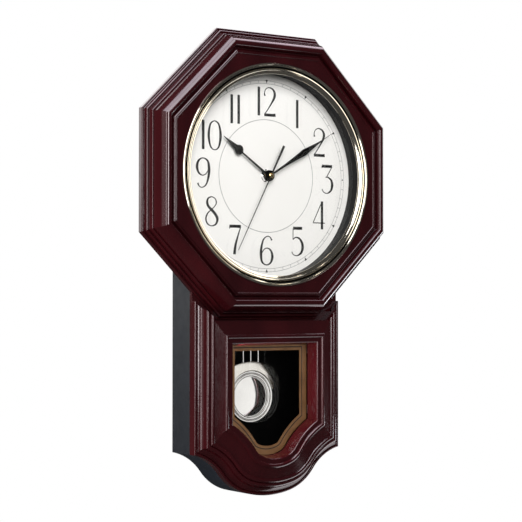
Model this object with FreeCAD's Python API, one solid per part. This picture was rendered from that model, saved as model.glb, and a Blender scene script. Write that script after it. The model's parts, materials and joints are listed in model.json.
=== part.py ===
"""Octagonal wall clock with a glazed drop case and a swinging pendulum.

Units are millimetres.  +Z is up and the wall is the plane Y = 0, with the front towards -Y.
The origin is the centre of the hanger's keyhole on the wall plane.  Shapes are drawn about
the dial's centre line, at Z = 0, and save() lowers them by HANGER_HEIGHT.
"""
import FreeCAD, Part
import math
import os

# --- case: overall sizes --------------------------------------------------------------------------
OCTAGON_FLATS = 330.0        # octagon moulding, across its outer flats
CASE_WIDTH = 199.0           # drop case, side to side
CASE_DEPTH = 38.0            # rear box, from the wall to the mouldings
FRAME_DEPTH = 32.0           # from the front of the rear box to the level y = 0 of the profiles
WINDOW_WIDTH = 131.8         # pendulum window, between the crests of its bead
WINDOW_HEIGHT = 103.5        # top run of that bead down to its lower corners
CASE_TOP = 118.0             # dial centre up to the rear box's top
CASE_TOP_CLIP = 15.0         # cut corners of the rear box's top
HANGER_HEIGHT = 90.0         # dial centre up to the keyhole

# --- lower outline of the drop case: three tangent arcs each side ---------------------------------
OUTER_CURVE = {"start": 12.1, "inflection": 53.9, "haunch_end": 15.5, "bottom_radius": 112.4}
WINDOW_CURVE = {"start": 27.8, "inflection": 56.3, "haunch_end": 24.4, "bottom_radius": 52.4}
OUTER_FALL = 50.6            # lower corners down to the lowest point
WINDOW_FALL = 44.0
WINDOW_HEAD = 18.8           # octagon's lower flat down to the window bead's top run
CORNER_MARGIN = 28.3         # window bead's lower corners down to the case's

# --- mouldings ------------------------------------------------------------------------------------
OVOLO_WIDTH = 10.4           # big round of the octagon, outer half
OVOLO_HEIGHT = 18.8
OVOLO_INNER_WIDTH = 4.0      # big round, inner half
OVOLO_INNER_HEIGHT = 7.3
OVOLO_CREST_R = 6.5
OVOLO_INNER_CREST_R = 2.6
OVOLO_FOOT = 16.2            # levels where the two halves of the round start
OVOLO_INNER_FOOT = 4.7
PLATE_INSET = 30.8           # octagon edge to its flat plate
PLATE_LEVEL = 1.0            # front of the octagon's flat plate, behind profile level 0
PLATE_THICK = 3.6
JOINT_GAP = 1.6              # octagon edge to the drop moulding's top edge
MITRE_GAP = 7.0              # octagon edge to the diagonal ends of the drop moulding
APRON_GAP = 0.3              # octagon edge to the apron that fills the joint behind
APRON_LEVEL = 27.0
REED_INSET = 20.15           # drop outline to the inner edge of the reeds
REED_LEVEL = 11.1            # profile level of that edge
BAND_LEVEL = 7.6             # profile level where the flat band meets the window bead
BAND_EDGE = 2.6              # window bead crest to its outer edge
BAND_OVERLAP = 0.4           # band carried in under the bead
REVEAL_EDGE = 10.9           # window bead crest to the rear edge of the reveal
GLASS_SEAT = 4.9             # window bead crest to the outer face of the reveal's wall
POCKET_INSET = 12.5          # drop outline to the moulding's hollow
POCKET_LEVEL = 15.5          # front of that hollow

# --- walls and boards -----------------------------------------------------------------------------
WALL = 3.0                   # rear box walls
FLANGE_WIDTH = 12.0          # rear box front flange
FLANGE_THICK = 3.0
PANEL_THICK = 4.0            # back panel
BOARD_THICK = 5.0            # board behind the dial
FIT_GAP = 0.2                # loose pieces in their seats
BACK_HOLE_GAP = 2.0          # back panel's hole round the keyhole

# --- dial, glass and bezel ------------------------------------------------------------------------
WELL_RADIUS = 121.5          # round well in the octagon
WELL_WALL = 2.5
BEZEL_LAP = 5.8              # bezel over the plate, outside the well
BEZEL_LIP = 6.1              # bezel over the glass, inside the well
BEZEL_DEPTH = 4.0            # bezel sleeve in the well
GLASS_THICK = 2.5
DIAL_LEVEL = 26.0            # dial face, behind profile level 0
DIAL_THICK = 1.0
RING_FRONT = 4.9             # black ring's thickness at the glass
RING_REAR = 3.6              # and at the dial
RING_SECTORS = 8             # large thin rings are made in sectors
ARC_CHORDS = 4               # narrow cones in each round of the bezel
WINDOW_GLASS_LEVEL = 22.5
WINDOW_GLASS_THICK = 2.0

# --- movement -------------------------------------------------------------------------------------
MOVE_HALF_WIDTH = 29.0
MOVE_TOP = 24.0              # dial centre up to the movement's top
MOVE_BOTTOM = 88.0           # dial centre down to the movement's bottom
MOVE_THICK = 21.0
MOVE_WALL = 1.6
MOVE_SPLIT = 10.5            # front housing's share of the thickness
RUBBER_THICK = 1.0
RUN_GAP = 0.05               # radial running clearance
SECOND_R = 0.5
MINUTE_TUBE_R = 1.6
HOUR_TUBE_R = 2.5
BUSHING_R = 3.9
NUT_FLATS = 12.0
ARBOR_R = 0.5
GEAR_THICK = 1.0
PINION_THICK = 1.4
BATTERY_R = 7.25
BATTERY_LENGTH = 49.0
BATTERY_DROP = 38.0          # dial centre down to the battery's axis
BATTERY_GAP = 0.4
CONTACT_THICK = 0.4
CONTACT_HALF = 4.0
BAY_WALL = 1.2
BUSHING_RISE = 3.2           # threaded centre tube ahead of the dial
WASHER_THICK = 0.5
WASHER_R = 7.8
NUT_THICK = 2.0
RUBBER_R = 14.0
MOTION_POST_R = 0.8
KNOB_SHAFT_R = 1.4
KNOB_R = 6.0
KNOB_THICK = 4.0
KNOB_GAP = 0.5               # knob behind the movement's rear face
KNOB_GRIPS = 18
KNOB_GRIP_R = 0.9
ROTOR_MAGNET_R = 3.5
ROTOR_MAGNET_THICK = 2.6
STATOR_R = 5.6               # pole plate round the rotor's magnet
STATOR_BORE = 3.9
STATOR_THICK = 1.0
COIL_X = 23.0                # motor coil's axis, right of the centre line
COIL_REACH = 22.0            # dial centre down to the stator leg's end
COIL_HALF = 8.0
COIL_R = 3.0
LEG_HALF = 2.0
CIRCUIT_HALF = 24.0
CIRCUIT_FOOT = -84.0         # circuit board's lower and upper edges
CIRCUIT_HEAD = -51.0
CIRCUIT_THICK = 1.0
CRYSTAL_R = 1.5
CRYSTAL_LENGTH = 8.0
CRYSTAL_X = -18.0
CRYSTAL_Z = -70.0
DRIVE_COIL_R = 8.0
DRIVE_COIL_BORE = 2.5
DRIVE_COIL_THICK = 2.9
PIN_BOSS_R = 3.2
PIN_BOSS_RISE = 1.5
PIN_DEPTH = 4.0              # pivot pin's length inside the boss
OPENING_HALF_WIDTH = 35.0    # access opening in the back panel
OPENING_TOP = 35.0
OPENING_BOTTOM = 62.0

# --- hands: the time shown at rest is nine minutes past ten ---------------------------------------
SECOND_ANGLE = 207.3
MINUTE_ANGLE = 58.8
HOUR_ANGLE = 304.8
HOUR_SHARE = 0.6123          # lengths of the hands, as shares of the well's radius
MINUTE_SHARE = 0.8535
SECOND_SHARE = 0.8025
HOUR_EYE_AT = 49.0
HOUR_EYE_R = 5.6
MINUTE_WIDEST_AT = 57.0
MINUTE_HALF_WIDTH = 3.9
SECOND_TAIL = 39.3
HAND_THICK = 0.5
HOUR_LEVEL = 21.7
MINUTE_LEVEL = 18.8
SECOND_LEVEL = 16.3

# --- pendulum -------------------------------------------------------------------------------------
PIVOT_DROP = 56.0            # dial centre down to the pendulum's pivot
PIVOT_R = 1.0
LEVER_LENGTH = 38.0          # pivot to the hook's foot
ROD_PITCH = 10.4
ROD_R = 1.0
ROD_LEVEL = 59.6
NECK_BELOW = 30.6            # window bead's top run down to the neck plate's top
BOB_BELOW = 71.6             # window bead's top run down to the bob's centre
BOB_R = 30.8
DOME_R = 23.5
DOME_HEIGHT = 5.5
DOME_EDGE = 1.0              # upright edge under the dome
LEVER_GAP = 0.3              # lever's side clearances on its pin
LEVER_THICK = 2.4
LEVER_HUB_R = 4.0
LEVER_HALF = 3.5
MAGNET_DROP = 76.0           # dial centre down to the pendulum's magnet
MAGNET_R = 4.0
MAGNET_THICK = 1.6
MAGNET_PAD_R = 6.0
PIN_HEAD_R = 2.2
PIN_HEAD = 0.8
YOKE_HEIGHT = 6.0
YOKE_THICK = 3.2
YOKE_MARGIN = 4.0            # yoke's ends outside the outer rods
ROD_SEAT = 3.0               # rods' length inside the neck plate
YOKE_SEAT = 3.5              # and inside the yoke
NECK_THICK = 3.0
NECK_HALF = 21.5             # neck's shoulders, from the middle and below its top
NECK_FALL = 4.2
NECK_SIDE = (28.6, 27.0)     # neck's sides, from the bob's centre
NECK_FOOT = (30.6, 8.0)
NECK_FRONT = 0.7             # neck's rounded front, ahead of the flat plate
NECK_ROUND = ((37.5, 0.3), (45.0, 2.6))
DISC_THICK = 1.6
TONGUE_HALF = 9.0

# --- fasteners ------------------------------------------------------------------------------------
SCREW_R = 1.45
SCREW_HEAD_R = 2.8
SCREW_HEAD = 1.7
BOSS_R = 4.2
BOARD_SCREW_RING = 20.0      # screws behind the octagon, outside the well
BOARD_SCREW_LENGTH = 16.0
BOX_SCREW_HEIGHTS = (70.0, -60.0)
DROP_SCREW_HEAD = 1.2        # rear box's upper screws, below the window bead's top run
DROP_SCREW_FOOT = 7.3        # its lower screws, above the bead's lower corners
DROP_SCREW_LENGTH = 8.5
PANEL_SCREW_INSET = 8.2
PANEL_SCREW_HEAD = 26.0      # back panel's upper screws, below the rear box's top
PANEL_SCREW_MIDDLE = -110.0
PANEL_SCREW_FOOT = 32.3      # its lower screws, above the window bead's lower corners
PANEL_SCREW_LENGTH = 14.0
CLIP_THICK = 1.8
CLIP_OUT = 7.5               # clip screws outside the glass
CLIP_HEAD = 16.2             # upper clips, below the window bead's top run
CLIP_FOOT = 17.3             # lower clips, above the bead's lower corners
CLIP_REACH = 4.0             # clips over the glass
CLIP_HALF = 5.0
CLIP_SCREW_LENGTH = 8.0

# --- hanger ---------------------------------------------------------------------------------------
KEYHOLE_R = 4.5
KEYHOLE_SLOT = 4.6
KEYHOLE_RISE = 11.0
HANGER_PLATE_W = 46.0
HANGER_PLATE_H = 32.0
HANGER_THICK = 1.2
HANGER_SCREW_INSET = 5.0
HANGER_SCREW_LENGTH = 3.8

# --- sizes that follow from those -----------------------------------------------------------------
APOTHEM = OCTAGON_FLATS / 2
CASE_HALF = CASE_WIDTH / 2
WINDOW_HALF = WINDOW_WIDTH / 2
WINDOW_TOP = APOTHEM + WINDOW_HEAD                # drops from the dial's centre
WINDOW_CORNER = WINDOW_TOP + WINDOW_HEIGHT
WINDOW_BOTTOM = WINDOW_CORNER + WINDOW_FALL
DROP_CORNER = WINDOW_CORNER + CORNER_MARGIN
DROP_BOTTOM = DROP_CORNER + OUTER_FALL
DROP_TOP = -APOTHEM - JOINT_GAP                   # Z of the drop moulding's level top edge
NECK_TOP = WINDOW_TOP + NECK_BELOW
BOB_DROP = WINDOW_TOP + BOB_BELOW
BEZEL_OUTER = WELL_RADIUS + BEZEL_LAP
BEZEL_INNER = WELL_RADIUS - BEZEL_LIP
HOUR_LENGTH = WELL_RADIUS * HOUR_SHARE
MINUTE_LENGTH = WELL_RADIUS * MINUTE_SHARE
SECOND_LENGTH = WELL_RADIUS * SECOND_SHARE
REAR = FRAME_DEPTH + CASE_DEPTH          # profile level of the wall
BOARD_LEVEL = DIAL_LEVEL + DIAL_THICK    # front of the board
MOVE_FRONT = BOARD_LEVEL + BOARD_THICK + RUBBER_THICK
MOVE_REAR = MOVE_FRONT + MOVE_THICK
PANEL_LEVEL = REAR - PANEL_THICK
GLASS_LEVEL = PLATE_LEVEL + BEZEL_DEPTH
FLANGE_LEVEL = FRAME_DEPTH + FLANGE_THICK
CLIP_LEVEL = WINDOW_GLASS_LEVEL + WINDOW_GLASS_THICK
CELL_LEVEL = MOVE_REAR - 1.5 - BATTERY_R          # battery's axis
CIRCUIT_LEVEL = MOVE_FRONT + MOVE_SPLIT - 3.0
LEVER_LEVEL = MOVE_REAR + PIN_BOSS_RISE + LEVER_GAP
LEVER_FOOT = PIVOT_DROP + LEVER_LENGTH
YOKE_FOOT = LEVER_FOOT + YOKE_HEIGHT
YOKE_LEVEL = ROD_LEVEL - YOKE_THICK / 2
BOB_BACK = ROD_LEVEL + NECK_THICK / 2

CUT_FRONT = -40.0                        # cutters reach past every piece
CUT_DEPTH = 160.0
RIGHT_CORNERS = 1                        # sweep transition that mitres its corners

OUT = "parts"


# --- helpers --------------------------------------------------------------------------------------
def at(x, level, z):
    """Point from X, profile level (0 at the front mouldings, REAR at the wall) and Z."""
    return FreeCAD.Vector(x, level - REAR, z)


def save(name, *solids):
    """Write one node, lowered so that the keyhole is the origin."""
    shape = solids[0] if len(solids) == 1 else Part.makeCompound(list(solids))
    shape = shape.copy()
    shape.translate(FreeCAD.Vector(0, 0, -HANGER_HEIGHT))
    assert shape.isValid(), name
    shape.exportStep(os.path.join(OUT, name + ".step"))
    print(name, len(shape.Solids), round(shape.Volume, 1))


def arc(a, b, c):
    return Part.Arc(a, b, c).toShape()


def line(a, b):
    return Part.makeLine(a, b)


def path_face(profile, place):
    """Face from a closed profile: a start (u, v), then (u, v) or (mid_u, mid_v, u, v) for an arc."""
    edges = []
    start = profile[0]
    here = start
    for step in profile[1:]:
        there = step[-2:]
        if len(step) == 4:
            edges.append(arc(place(*here), place(*step[:2]), place(*there)))
        elif math.dist(here, there) > 1e-6:
            edges.append(line(place(*here), place(*there)))
        here = there
    if math.dist(here, start) > 1e-6:
        edges.append(line(place(*here), place(*start)))
    return Part.Face(Part.Wire(edges))


def prism(face, depth):
    return face.extrude(FreeCAD.Vector(0, depth, 0))


def polygon(points, level, depth):
    """Prism along Y from (x, z) points."""
    corners = [at(x, level, z) for x, z in points]
    return prism(Part.Face(Part.makePolygon(corners + corners[:1])), depth)


def disc(radius, level, depth, x=0.0, z=0.0):
    return Part.makeCylinder(radius, depth, at(x, level, z), FreeCAD.Vector(0, 1, 0))


def tube(outer, inner, level, depth, x=0.0, z=0.0):
    return disc(outer, level, depth, x, z).cut(disc(inner, level, depth, x, z))


def block(x0, x1, level0, level1, z0, z1):
    return Part.makeBox(x1 - x0, level1 - level0, z1 - z0, at(x0, level0, z0))


def revolve(profile, x=0.0, z=0.0, sectors=1):
    """Solid of revolution about an axis along Y, from an (r, level) profile."""
    face = path_face(profile, lambda r, level: at(x + r, level, z))
    wedge = face.revolve(at(x, 0, z), FreeCAD.Vector(0, 1, 0), 360 / sectors)
    if sectors == 1:
        return wedge
    return wedge.multiFuse([turned(wedge, 360 / sectors * k, x, z) for k in range(1, sectors)])


def faceted(profile):
    """The profile with each of its arcs drawn as short chords."""
    points = []
    for step in profile:
        if len(step) == 2:
            points.append(step)
            continue
        ends = [FreeCAD.Vector(r, level, 0) for r, level in (points[-1], step[:2], step[2:])]
        drawn = Part.Arc(*ends).toShape().discretize(ARC_CHORDS + 1)
        points.extend((p.x, p.y) for p in drawn[1:])
    return points


def fuse(shapes):
    first = shapes[0]
    joined = first.multiFuse(shapes[1:]) if len(shapes) > 1 else first
    return joined.removeSplitter()


def turned(shape, angle, x=0.0, z=0.0):
    """Copy turned clockwise, seen from the front, about an axis along Y."""
    copy = shape.copy()
    copy.rotate(at(x, 0, z), FreeCAD.Vector(0, 1, 0), angle)
    return copy


# --- the drop outline -----------------------------------------------------------------------------
class Drop:
    """Symmetrical outline: straight sides over a hollow, a haunch and a bottom arc.

    Insets run inwards, towards the middle of the outline.
    """

    def __init__(self, half, corner, bottom, curve):
        self.half = half
        self.corner_drop = corner
        self.a0 = math.radians(curve["start"])
        self.a1 = math.radians(curve["inflection"])
        self.a2 = math.radians(curve["haunch_end"])
        self.r3 = curve["bottom_radius"]
        width = half - self.r3 * math.sin(self.a2)
        fall = (bottom - corner) - self.r3 * (1 - math.cos(self.a2))
        m11 = math.sin(self.a1) - math.sin(self.a0)
        m12 = math.sin(self.a1) - math.sin(self.a2)
        m21 = math.cos(self.a0) - math.cos(self.a1)
        m22 = math.cos(self.a2) - math.cos(self.a1)
        det = m11 * m22 - m12 * m21
        self.r1 = (width * m22 - m12 * fall) / det
        self.r2 = (m11 * fall - m21 * width) / det
        self.c1 = (half + self.r1 * math.sin(self.a0), -corner - self.r1 * math.cos(self.a0))
        reach = self.r1 + self.r2
        self.c2 = (self.c1[0] - reach * math.sin(self.a1), self.c1[1] + reach * math.cos(self.a1))
        self.c3 = (0.0, -bottom + self.r3)

    def hollow(self, inset, angle):
        radius = self.r1 + inset
        return (self.c1[0] - radius * math.sin(angle), self.c1[1] + radius * math.cos(angle))

    def haunch(self, inset, angle):
        radius = self.r2 - inset
        return (self.c2[0] + radius * math.sin(angle), self.c2[1] - radius * math.cos(angle))

    def corner_angle(self, inset):
        return math.asin((self.c1[0] - self.half + inset) / (self.r1 + inset))

    def corner(self, inset):
        return self.hollow(inset, self.corner_angle(inset))

    def wire(self, inset, top, level):
        """Closed wire; top lists the (x, z) corners from upper right to upper left."""
        bottom = self.c3[1] - self.r3 + inset
        start = self.corner_angle(inset)
        right = [self.corner(inset), self.hollow(inset, (start + self.a1) / 2),
                 self.haunch(inset, self.a1), self.haunch(inset, (self.a1 + self.a2) / 2),
                 self.haunch(inset, self.a2)]
        p = [at(x, level, z) for x, z in right]
        m = [at(-x, level, z) for x, z in right]
        edges = [arc(p[0], p[1], p[2]), arc(p[2], p[3], p[4]),
                 arc(p[4], at(0, level, bottom), m[4]), arc(m[4], m[3], m[2]), arc(m[2], m[1], m[0])]
        corners = [m[0]] + [at(x, level, z) for x, z in reversed(top)] + [p[0]]
        edges += [line(a, b) for a, b in zip(corners, corners[1:])]
        return Part.Wire(edges)

    def flat_top(self, inset, z):
        return [(self.half - inset, z), (-self.half + inset, z)]

    def solid(self, inset, top, level, depth):
        return prism(Part.Face(self.wire(inset, top, level)), depth)

    def moulding(self, profile, top_z, closed_top):
        """Mitred sweep of an (inset, level) profile along the sides and the curved foot.

        closed_top carries it across the top as well, where top_z stands for inset 0.
        """
        start_z = (top_z - self.corner_drop) / 2 if closed_top else top_z
        outline = self.wire(0.0, self.flat_top(0.0, top_z), 0.0).Edges
        arcs, left, top = outline[:5], outline[5], outline[6]
        first = line(at(self.half, 0, start_z), at(self.half, 0, -self.corner_drop))
        path = [first] + arcs + [left]
        if closed_top:
            path += [top, line(at(self.half, 0, top_z), at(self.half, 0, start_z))]
        section = path_face(profile, lambda i, v: at(self.half - i, v, start_z)).OuterWire
        return Part.Wire(path).makePipeShell([section], True, False, RIGHT_CORNERS)


OUTER = Drop(CASE_HALF, DROP_CORNER, DROP_BOTTOM, OUTER_CURVE)
WINDOW = Drop(WINDOW_HALF, WINDOW_CORNER, WINDOW_BOTTOM, WINDOW_CURVE)


# --- screws and holes -----------------------------------------------------------------------------
def screw(x, z, head_level, length, towards=-1):
    """Countersunk screw whose flat head is at head_level; towards -1 drives it to the front."""
    profile = [(0.0, head_level), (SCREW_HEAD_R, head_level),
               (SCREW_HEAD_R, head_level + towards * 0.3),
               (SCREW_R, head_level + towards * SCREW_HEAD),
               (SCREW_R, head_level + towards * (length - 1.0)),
               (0.5, head_level + towards * length), (0.0, head_level + towards * length)]
    body = revolve(profile, x, z)
    slot_level = head_level if towards > 0 else head_level - 0.7
    cross = block(x - 1.6, x + 1.6, slot_level - 0.1, slot_level + 0.8, z - 0.35, z + 0.35)
    return body.cut(cross.fuse(turned(cross, 90, x, z)))


def screw_seat(x, z, head_level, length, towards=-1):
    """Cutter for a screw's countersink and its own hole."""
    hole = SCREW_R + 0.02
    head = SCREW_HEAD_R + 0.05
    profile = [(0.0, head_level - towards * 1.0), (head, head_level - towards * 1.0),
               (head, head_level + towards * 0.32), (hole, head_level + towards * (SCREW_HEAD + 0.03)),
               (hole, head_level + towards * (length + 0.5)), (0.0, head_level + towards * (length + 0.5))]
    return revolve(profile, x, z)


def ring_of_eight(radius):
    """Places behind the octagon's corners."""
    return [(radius * math.cos(math.radians(22.5 + 45 * k)),
             radius * math.sin(math.radians(22.5 + 45 * k))) for k in range(8)]


def both_sides(places):
    return [(sign * x, z) for x, z in places for sign in (1, -1)]


FLANGE_MID = CASE_HALF - FLANGE_WIDTH / 2 - 0.5
PANEL_SCREW_X = CASE_HALF - PANEL_SCREW_INSET
CLIP_X = WINDOW_HALF - GLASS_SEAT + CLIP_OUT
BOARD_SCREWS = ring_of_eight(WELL_RADIUS + BOARD_SCREW_RING)
CASE_TO_BOARD = both_sides([(FLANGE_MID, z) for z in BOX_SCREW_HEIGHTS])
CASE_TO_BOARD_LENGTH = FLANGE_THICK + BOARD_THICK - 1.0
CASE_TO_DROP = both_sides([(FLANGE_MID, -WINDOW_TOP - DROP_SCREW_HEAD),
                           (FLANGE_MID, -WINDOW_CORNER + DROP_SCREW_FOOT)])
PANEL_SCREWS = both_sides([(PANEL_SCREW_X, CASE_TOP - PANEL_SCREW_HEAD), (PANEL_SCREW_X, PANEL_SCREW_MIDDLE),
                           (PANEL_SCREW_X, -WINDOW_CORNER + PANEL_SCREW_FOOT)])
CLIP_PLACES = both_sides([(CLIP_X, -WINDOW_TOP - CLIP_HEAD), (CLIP_X, -WINDOW_CORNER + CLIP_FOOT)])
HANGER_SCREWS = both_sides([(HANGER_PLATE_W / 2 - HANGER_SCREW_INSET, HANGER_HEIGHT)])


# --- octagon --------------------------------------------------------------------------------------
def octagon(apothem, level, depth):
    reach = apothem / math.cos(math.pi / 8)
    turn = [math.radians(22.5 + 45 * k) for k in range(8)]
    return polygon([(reach * math.cos(t), reach * math.sin(t)) for t in turn], level, depth)


def oval_quarter(width, height, crest_radius):
    """Two tangent arcs for a quarter oval, from its side (width, 0) to its crest (0, height).

    Each arc is (mid_u, mid_v, end_u, end_v), from the oval's centre.
    """
    drop = height - crest_radius
    large = (width ** 2 + drop ** 2 - crest_radius ** 2) / (2 * (width - crest_radius))
    meet = math.atan2(drop, large - width)
    low = (width - large + large * math.cos(meet / 2), large * math.sin(meet / 2))
    join = (width - large + large * math.cos(meet), large * math.sin(meet))
    half = (meet + math.pi / 2) / 2
    high = (crest_radius * math.cos(half), drop + crest_radius * math.sin(half))
    return [low + join, high + (0.0, height)]


def octagon_profile():
    """Section of the octagon moulding: (inset from the flats, level), rim first."""
    crest = 20.0
    rise, fall = OVOLO_FOOT, OVOLO_INNER_FOOT
    outer = [(crest - mu, rise - mv, crest - u, rise - v)
             for mu, mv, u, v in oval_quarter(OVOLO_WIDTH, OVOLO_HEIGHT, OVOLO_CREST_R)]
    inner = [(crest + mu, fall - mv, crest + u, fall - v)
             for mu, mv, u, v in oval_quarter(OVOLO_INNER_WIDTH, OVOLO_INNER_HEIGHT, OVOLO_INNER_CREST_R)]
    # the inner half is drawn from its crest outwards, so its arcs are taken in reverse
    (low_mu, low_mv, join_u, join_v), (high_mu, high_mv, _, _) = inner
    inner = [(high_mu, high_mv, join_u, join_v), (low_mu, low_mv, crest + OVOLO_INNER_WIDTH, fall)]
    rim = [(0.0, FRAME_DEPTH), (0.0, 26.0), (1.05, 24.95, 2.1, 26.0), (3.1, 25.2), (3.3, 22.6),
           (4.4, 20.4, 6.1, 21.2), (6.7, 20.4), (7.7, 16.6), (8.3, 15.5, 9.1, 15.7),
           (crest - OVOLO_WIDTH, rise)]
    beads = [(25.4, fall), (26.2, 3.7), (26.9, 1.9, 28.8, 1.0), (29.8, 0.0, PLATE_INSET, PLATE_LEVEL)]
    back = [(PLATE_INSET, PLATE_LEVEL + PLATE_THICK), (27.5, 8.2), (21.8, 8.2), (21.2, 3.4), (20.0, 0.9),
            (16.2, 3.2), (13.4, 9.0), (12.8, 17.0), (10.0, 20.2), (6.8, 24.2), (6.8, BOARD_LEVEL),
            (WALL, BOARD_LEVEL), (WALL, FRAME_DEPTH)]
    return rim + outer + inner + beads + back


def octagon_side():
    """One of the eight mitred runs of the moulding, the one on the right."""
    reach = APOTHEM + 5
    half = reach * math.tan(math.pi / 8)
    face = path_face(octagon_profile(), lambda inset, level: at(APOTHEM - inset, level, -half))
    body = face.extrude(FreeCAD.Vector(0, 0, 2 * half))
    return body.common(polygon([(0, 0), (reach, -half), (reach, half)], CUT_FRONT, CUT_DEPTH))


def octagon_frame():
    side = octagon_side()
    ring = fuse([turned(side, 45 * k) for k in range(8)])
    plate = octagon(APOTHEM - PLATE_INSET, PLATE_LEVEL, PLATE_THICK)
    well = disc(WELL_RADIUS + WELL_WALL, PLATE_LEVEL, BOARD_LEVEL - PLATE_LEVEL)
    bosses = [disc(BOSS_R, PLATE_LEVEL + 1.0, BOARD_LEVEL - PLATE_LEVEL - 1.0, x, z)
              for x, z in BOARD_SCREWS]
    body = fuse([ring, plate, well] + bosses)
    body = body.cut(disc(WELL_RADIUS, CUT_FRONT, CUT_DEPTH))
    for x, z in BOARD_SCREWS:
        body = body.cut(screw_seat(x, z, FRAME_DEPTH, BOARD_SCREW_LENGTH))
    return body


def dial_board():
    body = octagon(APOTHEM - WALL - FIT_GAP, BOARD_LEVEL, BOARD_THICK)
    body = body.cut(disc(BUSHING_R + FIT_GAP, BOARD_LEVEL, BOARD_THICK))
    for x, z in BOARD_SCREWS:
        body = body.cut(screw_seat(x, z, FRAME_DEPTH, BOARD_SCREW_LENGTH))
    for x, z in CASE_TO_BOARD:
        body = body.cut(screw_seat(x, z, FLANGE_LEVEL, CASE_TO_BOARD_LENGTH))
    return body


# --- drop frame -----------------------------------------------------------------------------------
def above_drop():
    """Cutter over the drop moulding's upper edge: level under the octagon, then beside its diagonals."""
    reach = CASE_HALF + 10
    knee = (APOTHEM + MITRE_GAP) * math.sqrt(2) + DROP_TOP
    return polygon([(knee, DROP_TOP), (reach, DROP_TOP + reach - knee), (reach, 0), (-reach, 0),
                    (-reach, DROP_TOP + reach - knee), (-knee, DROP_TOP)], CUT_FRONT, CUT_DEPTH)


def drop_frame():
    lip = [(0.0, FRAME_DEPTH), (0.0, 23.2), (1.65, 21.55, 3.3, 23.2), (3.9, 22.5),
           (8.1, 20.1, 10.1, 14.9), (11.8, 11.7, 15.1, 13.0), (16.7, 9.8, REED_INSET, REED_LEVEL)]
    hidden = [(REED_INSET, POCKET_LEVEL), (POCKET_INSET, POCKET_LEVEL), (POCKET_INSET, 19.0),
              (7.0, 26.0), (WALL, 26.0), (WALL, FRAME_DEPTH)]
    top = -(APOTHEM + MITRE_GAP) * math.sqrt(2) + CASE_HALF
    rim = OUTER.moulding(lip + hidden, top, False)

    bead = [(-BAND_EDGE, BAND_LEVEL), (-0.1, 5.2, BAND_EDGE, 7.2), (6.2, 7.0),
            (7.8, 7.5, 8.4, 9.2), (REVEAL_EDGE, WINDOW_GLASS_LEVEL), (GLASS_SEAT, WINDOW_GLASS_LEVEL),
            (GLASS_SEAT, POCKET_LEVEL), (-BAND_EDGE, POCKET_LEVEL)]
    window = WINDOW.moulding(bead, -WINDOW_TOP, True)

    reeds_top = OUTER.flat_top(REED_INSET, DROP_TOP)
    under_bead = BAND_OVERLAP - BAND_EDGE
    bead_top = WINDOW.flat_top(under_bead, -WINDOW_TOP - under_bead)
    low = OUTER.wire(REED_INSET, reeds_top, REED_LEVEL)
    high = WINDOW.wire(under_bead, bead_top, BAND_LEVEL)
    band = Part.makeLoft([low, high], True, True)
    slab = OUTER.solid(REED_INSET, reeds_top, REED_LEVEL, POCKET_LEVEL - REED_LEVEL)
    hole = WINDOW.solid(under_bead, bead_top, CUT_FRONT, CUT_DEPTH)
    band = band.fuse(slab).cut(hole)

    # the upper edge is closed by a wall down to the rear box
    knee = CASE_HALF - POCKET_INSET
    wall_top = -(APOTHEM + MITRE_GAP) * math.sqrt(2) + knee
    wall = block(-knee, knee, POCKET_LEVEL - 0.5, FRAME_DEPTH, DROP_TOP - WALL, max(DROP_TOP, wall_top))
    body = fuse([rim, window, band, wall]).cut(above_drop())
    top_half = CASE_HALF - (APOTHEM + APRON_GAP) * math.sqrt(2)
    apron = block(-CASE_HALF, CASE_HALF, APRON_LEVEL, FRAME_DEPTH, DROP_TOP - WALL, top_half)
    body = body.fuse(apron.cut(octagon(APOTHEM + APRON_GAP, CUT_FRONT, CUT_DEPTH)))

    bosses = [disc(BOSS_R, 25.0, FRAME_DEPTH - 25.0, x, z) for x, z in CASE_TO_DROP]
    clips = [disc(BOSS_R, POCKET_LEVEL - 1.0, CLIP_LEVEL - POCKET_LEVEL + 1.0, x, z)
             for x, z in CLIP_PLACES]
    body = fuse([body] + bosses + clips)
    for x, z in CASE_TO_DROP:
        body = body.cut(screw_seat(x, z, FLANGE_LEVEL, DROP_SCREW_LENGTH))
    for x, z in CLIP_PLACES:
        body = body.cut(screw_seat(x, z, CLIP_LEVEL + CLIP_THICK, CLIP_SCREW_LENGTH))
    return body


def window_glass():
    inset = GLASS_SEAT + FIT_GAP
    top = WINDOW.flat_top(inset, -WINDOW_TOP - inset)
    return WINDOW.solid(inset, top, WINDOW_GLASS_LEVEL, WINDOW_GLASS_THICK)


def window_clips():
    clips = []
    for x, z in CLIP_PLACES:
        side = math.copysign(1.0, x)
        foot = x - side * (CLIP_OUT + CLIP_REACH)
        outer = x + side * BOSS_R
        clip = block(min(foot, outer), max(foot, outer), CLIP_LEVEL, CLIP_LEVEL + CLIP_THICK,
                     z - CLIP_HALF, z + CLIP_HALF)
        clips.append(clip.cut(screw_seat(x, z, CLIP_LEVEL + CLIP_THICK, CLIP_SCREW_LENGTH)))
    return clips


# --- rear box -------------------------------------------------------------------------------------
def box_top(inset):
    half = CASE_HALF - inset
    clip = CASE_TOP_CLIP - inset * (2 - math.sqrt(2))
    return [(half, CASE_TOP - inset - clip), (half - clip, CASE_TOP - inset),
            (-half + clip, CASE_TOP - inset), (-half, CASE_TOP - inset - clip)]


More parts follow.
